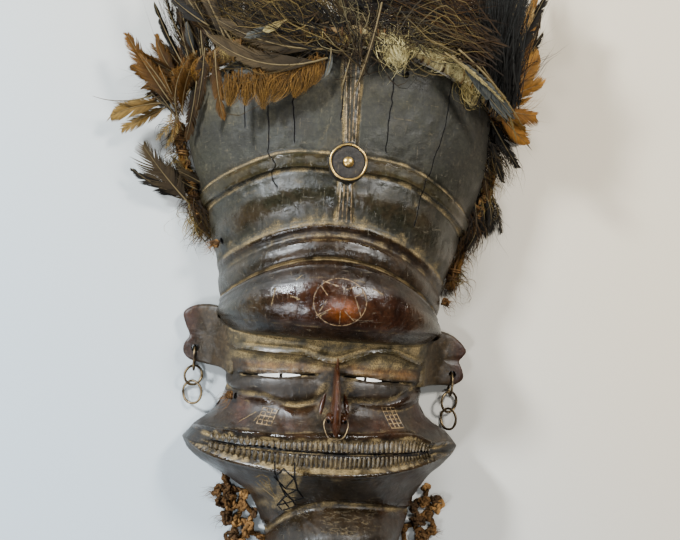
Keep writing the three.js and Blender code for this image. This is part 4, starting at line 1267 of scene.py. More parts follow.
def shades(draw, colours, rise, s, clump, side):
    """A colour for each point of the barbs: from the foot's to the tip's along the shaft, towards
    the barbs' own at their ends, and lighter or darker barb by barb and part by part."""
    amount = np.clip(rise[:, None] * 1.1 - 0.1 + 0 * s, 0, 1)
    tone = tint(np.broadcast_to(np.array(colours[0]), amount.shape + (3,)), colours[1], amount)
    tone = tint(tone, colours[2], 0.7 * s ** 1.5 * (0.3 + 0.7 * amount))
    light = 1 + 0.12 * draw.normal(size=clump.max() + 1)[clump]
    light = light + 0.16 * draw.normal(size=len(rise)) + 0.06 * side
    return np.clip(tone * np.clip(light, 0.35, 1.8)[:, None, None], 0, 1)


def ribbons(heap, spine, half, tone):
    """Flat ribbons, one for each row of spine points, as wide each way as half says."""
    rows, steps = spine.shape[:2]
    points = soft_cap(np.stack([spine - half, spine + half], 2)).reshape(-1, 3)
    k = (np.arange(rows)[:, None] * steps + np.arange(steps - 1)[None, :]).ravel() * 2
    faces = np.stack([k, k + 1, k + 3, k + 2], 1)
    heap.add((points, faces), np.repeat(np.broadcast_to(tone, spine.shape), 2, axis=1).reshape(-1, 3))


def strands(heap, count, root, tip, scatter, colours, wave=0.08, width=0.5, seed=0, lift=0.0):
    """Loose strands from near the root to near the tip. Each is a quadratic curve that waves, and
    narrows to its end. scatter gives how far their feet and ends are spread, in millimetres."""
    draw = dice(seed)
    root, tip = np.array(root, float), np.array(tip, float)
    foot = root + draw.normal(size=(count, 3)) * (scatter[0], scatter[0], scatter[0] * 0.5)
    end = tip + draw.normal(size=(count, 3)) * (scatter[1], scatter[1], scatter[1] * 0.5)
    length = np.linalg.norm(end - foot, axis=1)[:, None]
    side = unit(np.cross((0, 0, 1), end - foot))
    middle = (foot + end) / 2 + side * length * draw.normal(size=(count, 1)) * wave * 1.6
    middle = middle + np.array([0, 0, 1]) * length * (lift + draw.normal(size=(count, 1)) * wave)
    t = np.linspace(0, 1, 8)[None, :, None]
    spine = bow(t, foot[:, None], middle[:, None], end[:, None])
    swing = np.sin(t * draw.uniform(3, 9, (count, 1, 1)) + draw.uniform(0, 6, (count, 1, 1)))
    spine = spine + side[:, None] * swing * (length * wave * 0.35)[:, None] * t
    half = side[:, None] * width * draw.uniform(0.5, 1.2, (count, 1, 1)) * (1.05 - t) / 2
    amount = draw.uniform(0, 1, (count, 1)) * np.ones((1, 8))
    tone = tint(np.broadcast_to(np.array(colours[0]), (count, 8, 3)), colours[1], amount)
    tone = tint(tone, colours[2], draw.uniform(-0.6, 0.9, (count, 1)) * t[..., 0])
    ribbons(heap, spine, half, tone * draw.uniform(0.7, 1.3, (count, 1, 1)))


def crown_point(degrees, outward=-4.0, up=8.0, low=12.0):
    """A point in the feathers' binding: by angle round the crown's edge."""
    angle = math.radians(degrees)
    base = shell(CROWN_Y, angle)
    across = shell(CROWN_Y, angle + 0.01) - shell(CROWN_Y, angle - 0.01)
    normal = unit(np.array([across[2], 0, -across[0]])) * (-1 if across[2] * base[0] > 0 else 1)
    spot = base + normal * outward + (0, up, 0)
    spot[2] = max(spot[2], low)
    return spot


# Bundles of the crown: the angle round the crown where each is tied, the heading of its tip, its
# length, the spread of its headings, and its colours from the front layer to the back
CROWN_BUNDLES = [
    (-87, 200, 34, 22, (RUST, UMBER, SOOT)),
    (-84, 165, 34, 24, (RUST, UMBER, SOOT)),
    (-77, 128, 40, 20, (RUST, UMBER, SOOT)),
    (-63, 104, 84, 16, (UMBER, SOOT, SOOT)),
    (-44, 106, 112, 20, (SMOKE, UMBER, SOOT)),
    (-22, 98, 128, 24, (UMBER, SOOT, SOOT)),
    (0, 90, 132, 24, (UMBER, SOOT, SOOT)),
    (22, 82, 130, 24, (UMBER, SOOT, SOOT)),
    (43, 78, 122, 20, (SOOT, SOOT, STEEL)),
    (60, 72, 104, 16, (SOOT, SOOT, UMBER)),
    (75, 58, 48, 24, (FAWN, FAWN, RUST)),
    (83, -30, 28, 22, (FAWN, SOOT, SOOT)),
]

# Bundles along the sides: side, row, heading, length, spread and colours
SIDE_BUNDLES = [
    (-1, 221, 150, 36, 20, (SMOKE, SOOT, SOOT)),
    (1, 242, -78, 34, 12, (SOOT, SOOT, SOOT)),
    (1, 220, -114, 28, 8, (SOOT, SOOT, UMBER)),
]

# Feathers in each bundle of the crown, and of the sides
CROWN_COUNT, SIDE_COUNT = 18, 9


def side_point(side, v, outward):
    """Where fibre is bound along a side of the coiffure: just outside the rim, off the floor."""
    rim = shell(v, side * math.pi / 2)
    return rim + (side * outward, 0, 5.5)


def fill_bundle(heap, root, heading, length, spread, colours, rise, number, seed):
    """The feathers and loose barbs of one bundle, in three layers from the back to the front."""
    draw = dice(seed)
    for k in range(number):
        layer = 2 - k * 3 // number
        bearing = math.radians(heading + draw.normal() * spread * 0.55)
        long = length * draw.uniform(0.62, 1.0)
        out = np.array([math.cos(bearing), math.sin(bearing), 0])
        start = root + draw.normal(size=3) * (5, 3, 2) + (0, 0, 3.0 - 4.0 * layer)
        end = start + out * long + (0, 0, (rise - 6 * layer) + draw.normal() * 4)
        start[2], end[2] = max(start[2], 2.5), max(end[2], 2.5)
        kind = ("hackle", "split", "vane", "vane")[draw.integers(4)]
        wide = draw.uniform(6, 11) * (0.7 + length / 300)
        feather(heap, start, end, wide, colours[layer], kind, draw.normal() * 0.09, draw.uniform(0, 0.1),
                draw.normal() * 28, 1 + draw.normal() * 0.25, int(draw.integers(1 << 30)))
    for colour in colours:
        bearing = math.radians(heading + draw.normal() * spread * 0.4)
        out = np.array([math.cos(bearing), math.sin(bearing), 0])
        strands(heap, 60, root, root + out * length * 0.8 + (0, 0, rise), (4, 8), colour, 0.1, 0.55,
                int(draw.integers(1 << 30)))


# Feathers that show singly: the bundle they belong to, root, tip, width, colours, kind, bend,
# lift, and for some also roll and unevenness
SINGLE_FEATHERS = [
    ("crown_2", (-127, 247, 34), (-169, 303, 30), 12, RUST, "split", 0.03, 0.05, 10),
    ("crown_2", (-127, 250, 36), (-160, 290, 34), 7, RUST, "hackle", -0.05, 0.08, -20),
    ("crown_2", (-124, 246, 36), (-142, 279, 38), 5, RUST, "hackle", 0.02, 0.08),
    ("crown_2", (-122, 243, 38), (-113, 286, 54), 9, SINGED, "split", 0.1, 0.14, 40, 1.3),
    ("crown_2", (-125, 240, 34), (-119, 284, 50), 8, RUST, "plume", 0.22, 0.12),
    ("crown_2", (-112, 266, 52), (-119, 226, 28), 9, UMBER, "split", 0.05, 0.1, 20),
    ("crown_2", (-117, 262, 42), (-129, 228, 24), 6, RUST, "plume", -0.1, 0.05),
    ("crown_1", (-146, 259, 24), (-191, 254, 24), 1.4, SOOT, "hackle", 0.2, 0.05),
    ("crown_1", (-128, 246, 26), (-148, 260, 25), 2.2, SOOT, "hackle", 0.03, 0.05),
    ("crown_1", (-121, 233, 28), (-151, 269, 27), 4, SOOT, "hackle", -0.06, 0.05, 10),
    ("crown_1", (-136, 254, 20), (-178, 241, 18), 14, OCHRE, "vane", -0.1, 0.1, 0, 1.1),
    ("crown_1", (-135, 252, 18), (-169, 231, 16), 10, OCHRE, "split", -0.04, 0.05, 12),
    ("crown_1", (-132, 250, 17), (-143, 226, 14), 5, BUFF, "plume", 0.25, 0),
    ("crown_1", (-129, 246, 16), (-136, 220, 12), 4, BUFF, "plume", 0.2, 0),
    ("side_1", (-113, 178, 14), (-152, 221, 20), 17, SMOKE, "split", 0.04, 0.1, 0, 1.15),
    ("side_1", (-115, 184, 12), (-160, 203, 15), 8, SOOT, "split", 0.12, 0.08, 0, 1.1),
    ("crown_3", (-113, 282, 64), (-121, 306, 62), 6, ASH, "vane", 0.1, 0.1),
    ("crown_3", (-106, 284, 78), (-110, 240, 66), 8, UMBER, "split", 0.05, 0.1, 20),
    ("crown_4", (-98, 280, 90), (-89, 233, 84), 8.5, CHESTNUT, "vane", -0.05, 0.05),
    ("crown_4", (-20, 280, 100), (-105, 291, 90), 14, SMOKE, "vane", 0.3, 0.06, 6, 0.55),
    ("crown_5", (-24, 286, 98), (-98, 302, 88), 13, SMOKE, "vane", 0.16, 0.05, -4, 0.8),
    ("crown_5", (-52, 298, 94), (-78, 290, 96), 6, STEEL, "vane", -0.06, 0.05, -6),
    ("crown_5", (-58, 286, 46), (-80, 350, 44), 24, SOOT, "vane", 0, 0.05),
    ("crown_4", (-88, 280, 44), (-108, 336, 40), 18, SOOT, "vane", 0, 0.05),
    ("crown_6", (-18, 288, 97), (-21, 266, 99), 4, STEEL, "vane", 0.1, 0.1, 30),
    ("crown_6", (-50, 304, 99), (-66, 294, 99), 5, DOWN, "vane", 0, 0.1),
    ("crown_4", (-104, 300, 78), (-132, 320, 68), 9, SOOT, "vane", 0.06, 0.06),
    ("crown_4", (-100, 290, 74), (-120, 311, 64), 6, UMBER, "split", -0.05, 0.06),
    ("crown_7", (15, 322, 103), (-2, 252, 99), 3.0, SMOKE, "split", 0.05, 0.03),
    ("crown_7", (-8, 262, 93), (6, 316, 98), 7, SMOKE, "plume", 0.04, 0.03),
    ("crown_8", (74, 292, 92), (18, 316, 99), 4, STRAW, "hackle", 0.05, 0.06),
    ("crown_9", (68, 291, 94), (120, 252, 80), 7, STEEL, "split", 0.04, 0.07, 12, 0.8),
    ("crown_9", (74, 290, 90), (117, 250, 78), 6, STEEL, "vane", -0.04, 0.06, 24),
    ("crown_9", (62, 292, 97), (110, 262, 86), 3.5, DOWN, "hackle", 0.03, 0.06),
    ("crown_9", (72, 296, 94), (126, 248, 80), 2.5, STRAW, "hackle", 0.06, 0.08),
    ("crown_10", (88, 292, 84), (130, 238, 56), 3, HAY, "hackle", 0.1, 0.06, 30),
    ("crown_10", (128, 286, 40), (141, 362, 44), 13, FAWN, "vane", -0.05, 0.08, 15, 1.1),
    ("crown_10", (124, 290, 46), (137, 350, 50), 10, CREAM, "vane", 0.05, 0.06, -20),
    ("crown_11", (120, 276, 46), (147, 312, 42), 15, FAWN, "vane", -0.06, 0.1, 0, 1.1),
    ("crown_11", (120, 272, 44), (152, 290, 40), 14, FAWN, "vane", 0.08, 0.14, 24),
    ("crown_11", (118, 268, 42), (149, 266, 36), 14, RUSSET, "vane", -0.1, 0.14, -15),
    ("crown_12", (118, 266, 38), (146, 244, 30), 12, RUSSET, "vane", -0.08, 0.1),
    ("crown_12", (122, 262, 34), (150, 240, 28), 2.4, SOOT, "vane", 0.03, 0.05),
    ("crown_12", (115, 262, 28), (142, 226, 22), 10, SOOT, "split", -0.05, 0.06),
    ("side_2", (114, 254, 22), (132, 214, 17), 8, SOOT, "split", -0.06, 0.08),
    ("side_2", (112, 244, 18), (121, 200, 14), 7, UMBER, "split", -0.05, 0.06, 10),
    ("side_3", (104, 222, 16), (95, 184, 12), 5, SOOT, "split", -0.04, 0.06),
]

# Ragged tufts of fringe under the big wing feather: where each hangs from, and its point
FRINGE_TUFTS = [
    ((-85, 261, 91), (-86, 243, 87)), ((-75, 262, 92), (-74.5, 244, 88)), ((-66, 267, 93), (-62, 243, 88)),
    ((-60, 268, 93), (-62, 249, 89)), ((-53, 267, 94), (-54.6, 253, 90)), ((-47, 268, 94), (-56, 248, 90)),
    ((-39, 271, 95), (-41, 252, 91)), ((-32, 274, 95), (-34.5, 257, 92)), ((-26, 277, 96), (-28.5, 262, 93)),
]

# Loose strands: bundle, how many, root, tip, scatter of the feet and of the ends, colours, waviness
LOOSE_STRANDS = [
    ("crown_9", 360, (108, 276, 66), (104, 352, 84), (7, 13), INKY, 0.05),
    ("crown_10", 260, (116, 272, 58), (118, 352, 64), (6, 9), INKY, 0.05),
    ("crown_8", 200, (94, 300, 88), (24, 328, 98), (7, 12), (SOOT[0], UMBER[1], FRINGE[1]), 0.06),
    ("crown_7", 220, (14, 322, 96), (84, 336, 94), (9, 12), (SOOT[0], SOOT[1], RUST[1]), 0.08),
    ("crown_6", 220, (-8, 298, 92), (-64, 330, 92), (9, 15), (SOOT[0], UMBER[0], STRAW[2]), 0.2),
    ("crown_5", 200, (-30, 298, 92), (-104, 322, 80), (8, 15), (SOOT[0], UMBER[0], STRAW[1]), 0.22),
    ("crown_6", 90, (-30, 306, 92), (-84, 312, 90), (12, 12), (UMBER[1], STRAW[0], STRAW[2]), 0.4),
    ("crown_7", 150, (2, 292, 96), (-2, 318, 98), (10, 14), (SOOT[0], UMBER[1], DOWN[2]), 0.4),
    ("crown_8", 150, (26, 300, 96), (44, 306, 98), (10, 10), (SOOT[0], UMBER[1], DOWN[1]), 0.45),
    ("crown_7", 120, (36, 312, 98), (78, 300, 94), (10, 8), (SOOT[0], SOOT[2], STRAW[2]), 0.3),
    ("crown_11", 60, (124, 290, 44), (146, 320, 40), (6, 9), (SOOT[0], SOOT[1], RUST[1]), 0.15),
    ("side_2", 120, (112, 246, 20), (132, 214, 16), (6, 8), (SOOT[0], UMBER[0], STRAW[1]), 0.2),
    ("side_3", 110, (103, 190, 12), (102, 150, 9), (3, 5), (UMBER[0], UMBER[1], FRINGE[1]), 0.25),
    ("side_1", 90, (-104, 176, 12), (-88, 150, 9), (5, 5), (UMBER[0], UMBER[1], STRAW[1]), 0.15),
]


def plumage():
    """Every bundle's feathers, gathered into one heap for each of the frame's bundles, whose names
    are shortened to crown_1 and so on."""
    heaps = {}
    for k, (degrees, heading, length, spread, colours) in enumerate(CROWN_BUNDLES):
        heap = heaps.setdefault(f"crown_{k + 1}", Heap())
        root = crown_point(degrees)
        rise = -root[2] * 0.3 + 4
        fill_bundle(heap, root, heading, length, spread, colours, rise, CROWN_COUNT, 700 + k)
    for k, (side, v, heading, length, spread, colours) in enumerate(SIDE_BUNDLES):
        heap = heaps.setdefault(f"side_{k + 1}", Heap())
        fill_bundle(heap, side_point(side, v, 5), heading, length, spread, colours, 2, SIDE_COUNT, 750 + k)
    for k, (bundle, root, tip, width, *rest) in enumerate(SINGLE_FEATHERS):
        feather(heaps[bundle], root, tip, width, *rest, seed=800 + k)
    for k, (bundle, number, root, tip, scatter, colours, wave) in enumerate(LOOSE_STRANDS):
        strands(heaps[bundle], number, root, tip, scatter, colours, wave, 0.85, 900 + k)
    for k, (root, tip) in enumerate(FRINGE_TUFTS):
        strands(heaps["crown_4"], 150, root, tip, (2.9, 0.6), FRINGE, 0.16, 0.6, 950 + k)
    return heaps


# Metal: rings, links and the tack


def hoop(radius, wire, stretch=1.0, seed=0, around=64, sides=10):
    """A ring of round wire: a circle of the radius, drawn out along Y by stretch, with small dents."""
    a = (2 * np.pi * np.arange(around) / around)[:, None]
    b = (2 * np.pi * np.arange(sides) / sides)[None, :]
    dent = 1 + 0.05 * np.sin(3 * a + seed) + 0.04 * np.sin(7 * a + 2 * seed)
    bend = radius * (1 + 0.015 * np.sin(2 * a + seed) + 0.01 * np.sin(5 * a))
    x = (bend + wire * dent * np.cos(b)) * np.cos(a)
    y = (bend * stretch + wire * dent * np.cos(b)) * np.sin(a)
    z = wire * dent * np.sin(b) + 0 * a
    points = np.stack([x, y, z], -1).reshape(-1, 3)
    faces = grid_faces(around + 1, sides, closed=True) % (around * sides)
    return points, faces


def node_middle(node):
    """The middle of one of the frame's nodes, in millimetres in the carver's frame."""
    low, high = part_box(node)
    return (np.array(low) + np.array(high)) * 500 - ORIGIN


# Links from each ear: radius, stretch and how far each is turned about Y
LINKS = {
    "left": [(6.4, 1.42, 90), (7.5, 1, 32), (8.3, 1.06, -30)],
    "right": [(6.4, 1.45, 90), (7.5, 1.1, 28), (7.6, 1.1, -52)],
}
LINK_WIRE, RING_WIRE, NOSE_WIRE = 0.95, 0.75, 0.5
BOSS_RING, NOSE_RING, NOSE_RING_STRETCH, NOSE_RING_TILT = 12.6, 8.6, 1.12, -22
NOSE_RING_MIDDLE = (NOSE_X, 24.2, 86.4)
# The tack from its point to the top of its dome: radius and height
TACK_PROFILE = [(0.6, -5.4), (1.1, -4), (1.1, 0), (3.6, 0), (3.85, 0.35), (3.7, 0.9), (3.1, 1.5),
                (2.2, 2.05), (1.2, 2.35), (0.4, 2.45)]


def metal_pieces(iron, brass):
    """The links of the ears, the ring of the nose, and the wire and the tack on the boss."""
    for side, links in LINKS.items():
        for k, (radius, stretch, turn) in enumerate(links):
            node = f"{side}_ear_link_{k + 1}"
            points, faces = hoop(radius, LINK_WIRE, stretch, k)
            points = points @ rotation(turn, "Y").T + node_middle(node)
            link = mesh_piece(f"{side}_ear_ring_{k + 1}", points, faces)
            show(link, iron, node)
    points, faces = hoop(NOSE_RING, NOSE_WIRE, NOSE_RING_STRETCH, 5)
    points[:, 0] *= 1 + 0.04 * np.sin(points[:, 1] / 3)
    points = points @ rotation(NOSE_RING_TILT, "X").T + NOSE_RING_MIDDLE
    ring = mesh_piece("nose_wire", points, faces)
    show(ring, iron, "nose_ring")
    points, faces = hoop(BOSS_RING, RING_WIRE, 1, 2, 120, 12)
    points += (0, BOSS_Y, BOSS_TOP + RING_WIRE + 0.05)
    wire = mesh_piece("boss_wire", points, faces)
    show(wire, brass, "boss_wire_ring")
    radii, heights = np.array(TACK_PROFILE).T
    heights = heights + BOSS_TOP + 0.4 + np.arange(len(radii)) * 1e-4
    path = np.column_stack([0 * radii, np.full(len(radii), BOSS_Y), heights])
    dome = mesh_piece("boss_stud", *sweep(path, radii, (0, 1, 0), 32))
    show(dome, brass, "boss_tack")


# Hide and fibre


# A direction that no cord runs in
NEAR_UP = (0.13, 0.09, 1)


def twisted(path, radius, turns_per_mm=0.16, strands_in=2, sides=6, seed=0):
    """A cord of twisted strands: each follows the path at a distance, and winds round it."""
    draw = dice(seed)
    path = np.asarray(path, float)
    along = unit(np.gradient(path, axis=0))
    side = unit(np.cross(np.broadcast_to(NEAR_UP, path.shape), along))
    top = np.cross(along, side)
    run = run_along(path)
    shapes = []
    for k in range(strands_in):
        turn = 2 * np.pi * (run * turns_per_mm + k / strands_in) + draw.normal() * 0.3
        own = path + (side * np.cos(turn)[:, None] + top * np.sin(turn)[:, None]) * radius * 0.48
        thick = radius * 0.62 * (1 + 0.08 * np.sin(run * 0.7 + draw.uniform(0, 6)))
        shapes.append(sweep(own, thick, NEAR_UP, sides))
    return shapes


def knot_path(centre, size, seed):
    """A trefoil knot round a centre, turned at random: (sin t + 2 sin 2t, cos t - 2 cos 2t, -sin 3t)."""
    draw = dice(seed)
    t = np.linspace(0, 2 * np.pi, 46) * 0.985
    curve = np.stack([np.sin(t) + 2 * np.sin(2 * t), np.cos(t) - 2 * np.cos(2 * t), -np.sin(3 * t)], 1) / 3
    turn = np.linalg.qr(draw.normal(size=(3, 3)))[0]
    return np.asarray(centre) + (curve @ turn.T) * (size, size, size * 0.8)


FIBRE_SHADES = [srgb(112, 80, 46), srgb(84, 58, 33), srgb(140, 103, 60), srgb(62, 43, 26)]


# The netting: its meshes round the chin, and how far out each row of knots is for its reach
NET_MESHES, NET_ROWS = 13, (0.0, 0.3, 0.6, 0.86)


def net_edge():
    """The curve round the chin that the netting is tied to: its points, and the way out from each."""
    rows = np.array([-30.0, -38, -46, -56, -68, -80, -90, -98, -103])
    sides = []
    for way in (-1, 1):
        sides.append(np.stack([way * (station(HALF_WIDTH, rows) + 3) + swerve(rows), rows - 2], 1))
    foot = np.array([[-16, CHIN_Y - 3], [0, CHIN_Y - 4], [16, CHIN_Y - 3]]) + (9, 0)
    edge = smooth_path(np.concatenate([sides[0], foot, sides[1][::-1]]), 1.0)
    along = unit(np.gradient(edge, axis=0))
    return edge, np.stack([along[:, 1], -along[:, 0]], 1)


def chin_netting():
    """Knotted cords in diamond meshes: each knot is joined to two of the next row out."""
    draw = dice(71)
    heap = Heap()
    edge, away = net_edge()
    length = len(edge) - 1
    rows = []
    for row, out in enumerate(NET_ROWS):
        count = NET_MESHES + 1 - row % 2
        round_at = (np.arange(count) + (row % 2) / 2) / NET_MESHES + 0.008 * draw.normal(size=count)
        round_at = np.clip(round_at, 0, 1)
        k = (round_at * length).astype(int)
        reach = (19 + 29 * np.sin(np.pi * round_at) ** 2) * out * (1 + 0.07 * draw.normal(size=count))
        spots = edge[k] + away[k] * reach[:, None]
        high = 3.4 + 1.6 * draw.uniform(size=count) * (row > 0)
        rows.append(np.column_stack([spots, high]))
    seed = 0
    for row, (upper, lower) in enumerate(zip(rows[:-1], rows[1:])):
        for i, start in enumerate(upper):
            mates = (i - 1, i) if row % 2 == 0 else (i, i + 1)
            for j in mates:
                if 0 <= j < len(lower):
                    seed += 1
                    cord_between(heap, start, lower[j], seed, draw)
    for row, spots in enumerate(rows):
        for spot in spots:
            seed += 1
            size = draw.uniform(3.6, 6.2) if row else 3.2
            tone = FIBRE_SHADES[draw.integers(4)]
            centre = (spot[0], spot[1], size * 0.95 + 1.6)
            lay(heap, twisted(knot_path(centre, size, seed), 1.75, 0.14, 2, 6, seed), tone)
            if row and draw.uniform() < 0.75:
                tail = spot[:2] + draw.normal(size=2) * 4 + unit(spot[:2] - (9, -60)) * 7
                tail = np.append(tail, 1.4)
                strands(heap, 16, spot, tail, (1.0, 2.6), FIBRE_SHADES[:3], 0.25, 0.5, seed)
    return heap.build("knotted_netting")


def lay(heap, shapes, tone):
    """Adds shapes to a heap, each lifted as far as it would go below the floor."""
    for points, faces in shapes:
        heap.add((points + (0, 0, max(0.0, 0.3 - points[:, 2].min())), faces), tone)


def cord_between(heap, start, end, seed, draw):
    """A slack cord from one knot to the next, with a few stray hairs."""
    t = np.linspace(0, 1, max(8, int(np.linalg.norm(end - start) / 1.1)))[:, None]
    side = unit(np.cross((0, 0, 1), end - start))
    path = start + (end - start) * t + side * np.sin(np.pi * t) * draw.normal() * 2.2
    path = path + side * 0.5 * np.sin(7 * t + draw.uniform(0, 6))
    path[:, 2] = 3.0 + 1.8 * (2 * t[:, 0] - 1) ** 2
    tone = FIBRE_SHADES[draw.integers(4)]
    lay(heap, twisted(path, 1.9, 0.11, 3, 6, seed), tone)
    strands(heap, 8, path[2], path[-3], (0.7, 2.0), FIBRE_SHADES[:3], 0.12, 0.35, seed)


def hole_knot(name, node, size, seed):
    """A knot of cord in one of the side holes, with its ends left long."""
    heap = Heap()
    centre = node_middle(node)
    for turn in range(2):
        knot = knot_path(centre, size - 0.9 * turn, seed + turn)
        lay(heap, twisted(knot, 1.05, 0.2, 2, 6, seed), FIBRE_SHADES[(seed + turn) % 4])
    outward = unit(np.array([centre[0], 0, 0])) * 9
    strands(heap, 22, centre, centre + outward + (0, -6, -4), (1.2, 3.5), FIBRE_SHADES[:3], 0.2, 0.45, seed)
    return heap.build(name)


def side_fibres(name, side, low, high, seed):
    """Twisted fibres bound along a side of the coiffure, with wraps, knots and hairs standing off."""
    heap = Heap()
    draw = dice(seed)
    rows = np.linspace(low, high, 60)
    middle = np.array([side_point(side, v, 6.5) for v in rows])
    for k in range(7):
        turn = draw.uniform(0, 2 * np.pi) + rows * draw.uniform(0.05, 0.11)
        path = middle + np.stack([np.cos(turn) * 2.4, 0 * turn, np.sin(turn) * 2.6], 1)
        path[:, 0] += 0.8 * np.sin(rows * 0.3 + k)
        lay(heap, twisted(path, 1.25, 0.1, 2, 6, seed + k), FIBRE_SHADES[k % 4] if k % 3 else RUST[1])
    for k in range(9):
        spot = middle[int(draw.uniform(4, 55))]
        a = np.linspace(0, 4 * np.pi, 40)
        wrap = spot + np.stack([4.6 * np.cos(a), 0.28 * a - 1.7, 4.4 * np.sin(a)], 1)
        lay(heap, [sweep(wrap, 0.7, (0, 1, 0.1), 6)], FIBRE_SHADES[k % 4])
    for k in range(14):
        spot = middle[int(draw.uniform(2, 58))] + (side * draw.uniform(-2, 2), 0, 1.5)
        knot = knot_path(spot, draw.uniform(2.4, 4.4), seed + k)
        lay(heap, twisted(knot, 1.1, 0.2, 2, 5, k), FIBRE_SHADES[k % 4])
    for k in range(26):
        spot = middle[int(draw.uniform(0, 59))]
        away = np.array([side * draw.uniform(-3, 11), draw.uniform(-22, 6), draw.uniform(-2, 5)])
        colours = (UMBER, STRAW, RUST, SOOT)[k % 4]
        strands(heap, 20, spot, spot + away, (2.5, 3.5), colours, 0.4, 0.7, seed + 50 + k)
    return heap.build(name)


def crown_binding():
    """The roll of hide and down that the feathers are tied into, lumpy and bound with cord."""
    heap = Heap()
    degrees = np.linspace(-78, 78, 150)
    path = np.array([crown_point(d, -4, 7.7, 0) for d in degrees])
    half_deep, half_tall = 6.3, 8.3
    points, faces = sweep(path, half_deep, (0, 0, 1), 26, half_tall / half_deep)
    lumps = 0.9 * wobble(points[:, 0] + points[:, 2], points[:, 1] * 2, 22, 81)
    points = points + lumps[:, None] * np.array([0, 0.8, 0.8])
    pale = ramp(-20, 20, points[:, 0]) * ramp(112, 84, points[:, 0])
    heap.add((points, faces), tint(np.array(srgb(96, 74, 48)), srgb(176, 160, 116), pale))
    draw = dice(82)
    for degree in np.arange(-74, 75, 5.0):
        spot = crown_point(degree + draw.normal(), -4, 7.7, 0)
        a = np.linspace(0, 2.2 * np.pi, 30)
        wrap = spot + np.stack([0.4 * a - 1, 7.3 * np.cos(a), 9.4 * np.sin(a)], 1)
        heap.add(sweep(wrap, 0.75, (1, 0.1, 0.1), 6), FIBRE_SHADES[draw.integers(4)])
    for k, degree in enumerate(np.arange(-76, 77, 2.0)):
        spot = crown_point(degree, -4, 7.0, 0)
        front = unit(np.array([math.sin(math.radians(degree)) * 0.6, 0, 1.0]))
        spot = spot + front * 7.5
        colours = (STRAW, UMBER, SOOT)[k % 3]
        if degree < -48:
            colours = RUST
        elif 4 < degree < 62:
            colours = DOWN
        tip = spot + (draw.normal() * 5, -5.5 + draw.normal() * 2.5, 1.5)
        strands(heap, 34, spot, tip, (2.4, 2.6), colours, 0.25, 0.55, 8200 + k, 0.12)
    heap.add(ball((92.8, 272, 58.5), (5.7, 8.3, 4), 20), srgb(104, 92, 64))
    fluff = (STRAW[1], DOWN[0], DOWN[1])
    strands(heap, 110, (88.2, 281, 67), (94.1, 267, 62), (4, 3.5), fluff, 0.3, 0.6, 83)
    strands(heap, 150, (24, 295, 98), (30, 281, 99), (6, 4), DOWN, 0.25, 0.7, 84)
    return heap.build("crown_binding")


# Materials


def scored(paint, middle, lines, width):
    """1 on some straight scored lines and 0 off them. How far a point is from a line is how far
    it lies from its own shadow on it, and the nearest line counts."""
    at = paint.measure(middle)
    nearest = None
    for start, end in np.asarray(lines, float):
        run = np.append(end - start, 0)
        off = paint.vector("SUBTRACT", at, tuple(map(float, np.append(start, 0))))
        share = paint.vector("DOT_PRODUCT", off, tuple(map(float, run / (run @ run))), output=1).clamp()
        values = {0: tuple(map(float, run)), "Scale": share}
        shadow = paint.node("ShaderNodeVectorMath", {"operation": "SCALE"}, values)
        gap = paint.vector("DISTANCE", off, shadow, output=1)
        nearest = gap if nearest is None else nearest.math("MINIMUM", gap)
    return 1 - nearest.band(width * 0.3, width * 0.8)


def netted(paint, corners, columns, rows, width):
    """1 on the lines of a small net: its two slants are measured in meshes, and each line is where
    a measure is whole."""
    a, b, c, d = np.array(corners, float)
    slants = np.stack([(b - a + c - d) / 2, (d - a + c - b) / 2], 1)
    at = paint.measure(tuple(a))
    lines, within = [], 1.0
    for row, count, slant in zip(np.linalg.inv(slants), (columns, rows), slants.T):
        share = paint.vector("DOT_PRODUCT", at, (float(row[0]), float(row[1]), 0.0), output=1)
        line = (share * float(count)).math("PINGPONG", 0.5) * float(np.linalg.norm(slant) / count)
        lines.append(1 - line.band(width * 0.3, width * 0.8))
        within = (1 - (share - 0.5).math("ABSOLUTE").band(0.5, 0.54)) * within
    return lines[0].math("MAXIMUM", lines[1]) * within


def scorings(paint, wear):
    """All the fine pale lines: the ring and cross, the nets of the cheeks, and the strap. They are
    only on the front, where the wood faces out, and not in the hollow behind."""
    reach = (1 / RING_REACH[0], 1 / RING_REACH[1], 0.0)
    round_it = paint.vector("MULTIPLY", paint.measure(RING_MIDDLE), reach)
    ring = (paint.vector("LENGTH", round_it, output=1) - 1.0).math("ABSOLUTE") * RING_REACH[0]
    lines = (1 - ring.band(0.12, 0.42)).math("MAXIMUM", scored(paint, RING_MIDDLE, CROSS, 0.55))
    straps = [line[[0, -1]] for line in strap_lines()]
    for more in [scored(paint, (0, 0), straps, 0.7)] + [netted(paint, *grid, 0.65) for grid in CHEEK_GRIDS]:
        lines = lines.math("MAXIMUM", more)
    normal = paint.node("ShaderNodeTexCoord", {}, {}, "Normal")
    front = paint.vector("DOT_PRODUCT", normal, (0.0, 0.0, 1.0), output=1).band(0, 0.1)
    return lines * (0.2 + wear * 0.8) * front


# How the film on the wood darkens its tone: stops from its thickest to its thinnest
SPOTS = [(0.34, (0.17, 0.16, 0.13)), (0.46, (0.27, 0.26, 0.22)), (0.54, (0.37, 0.36, 0.31)),
         (0.68, (0.68, 0.64, 0.54))]


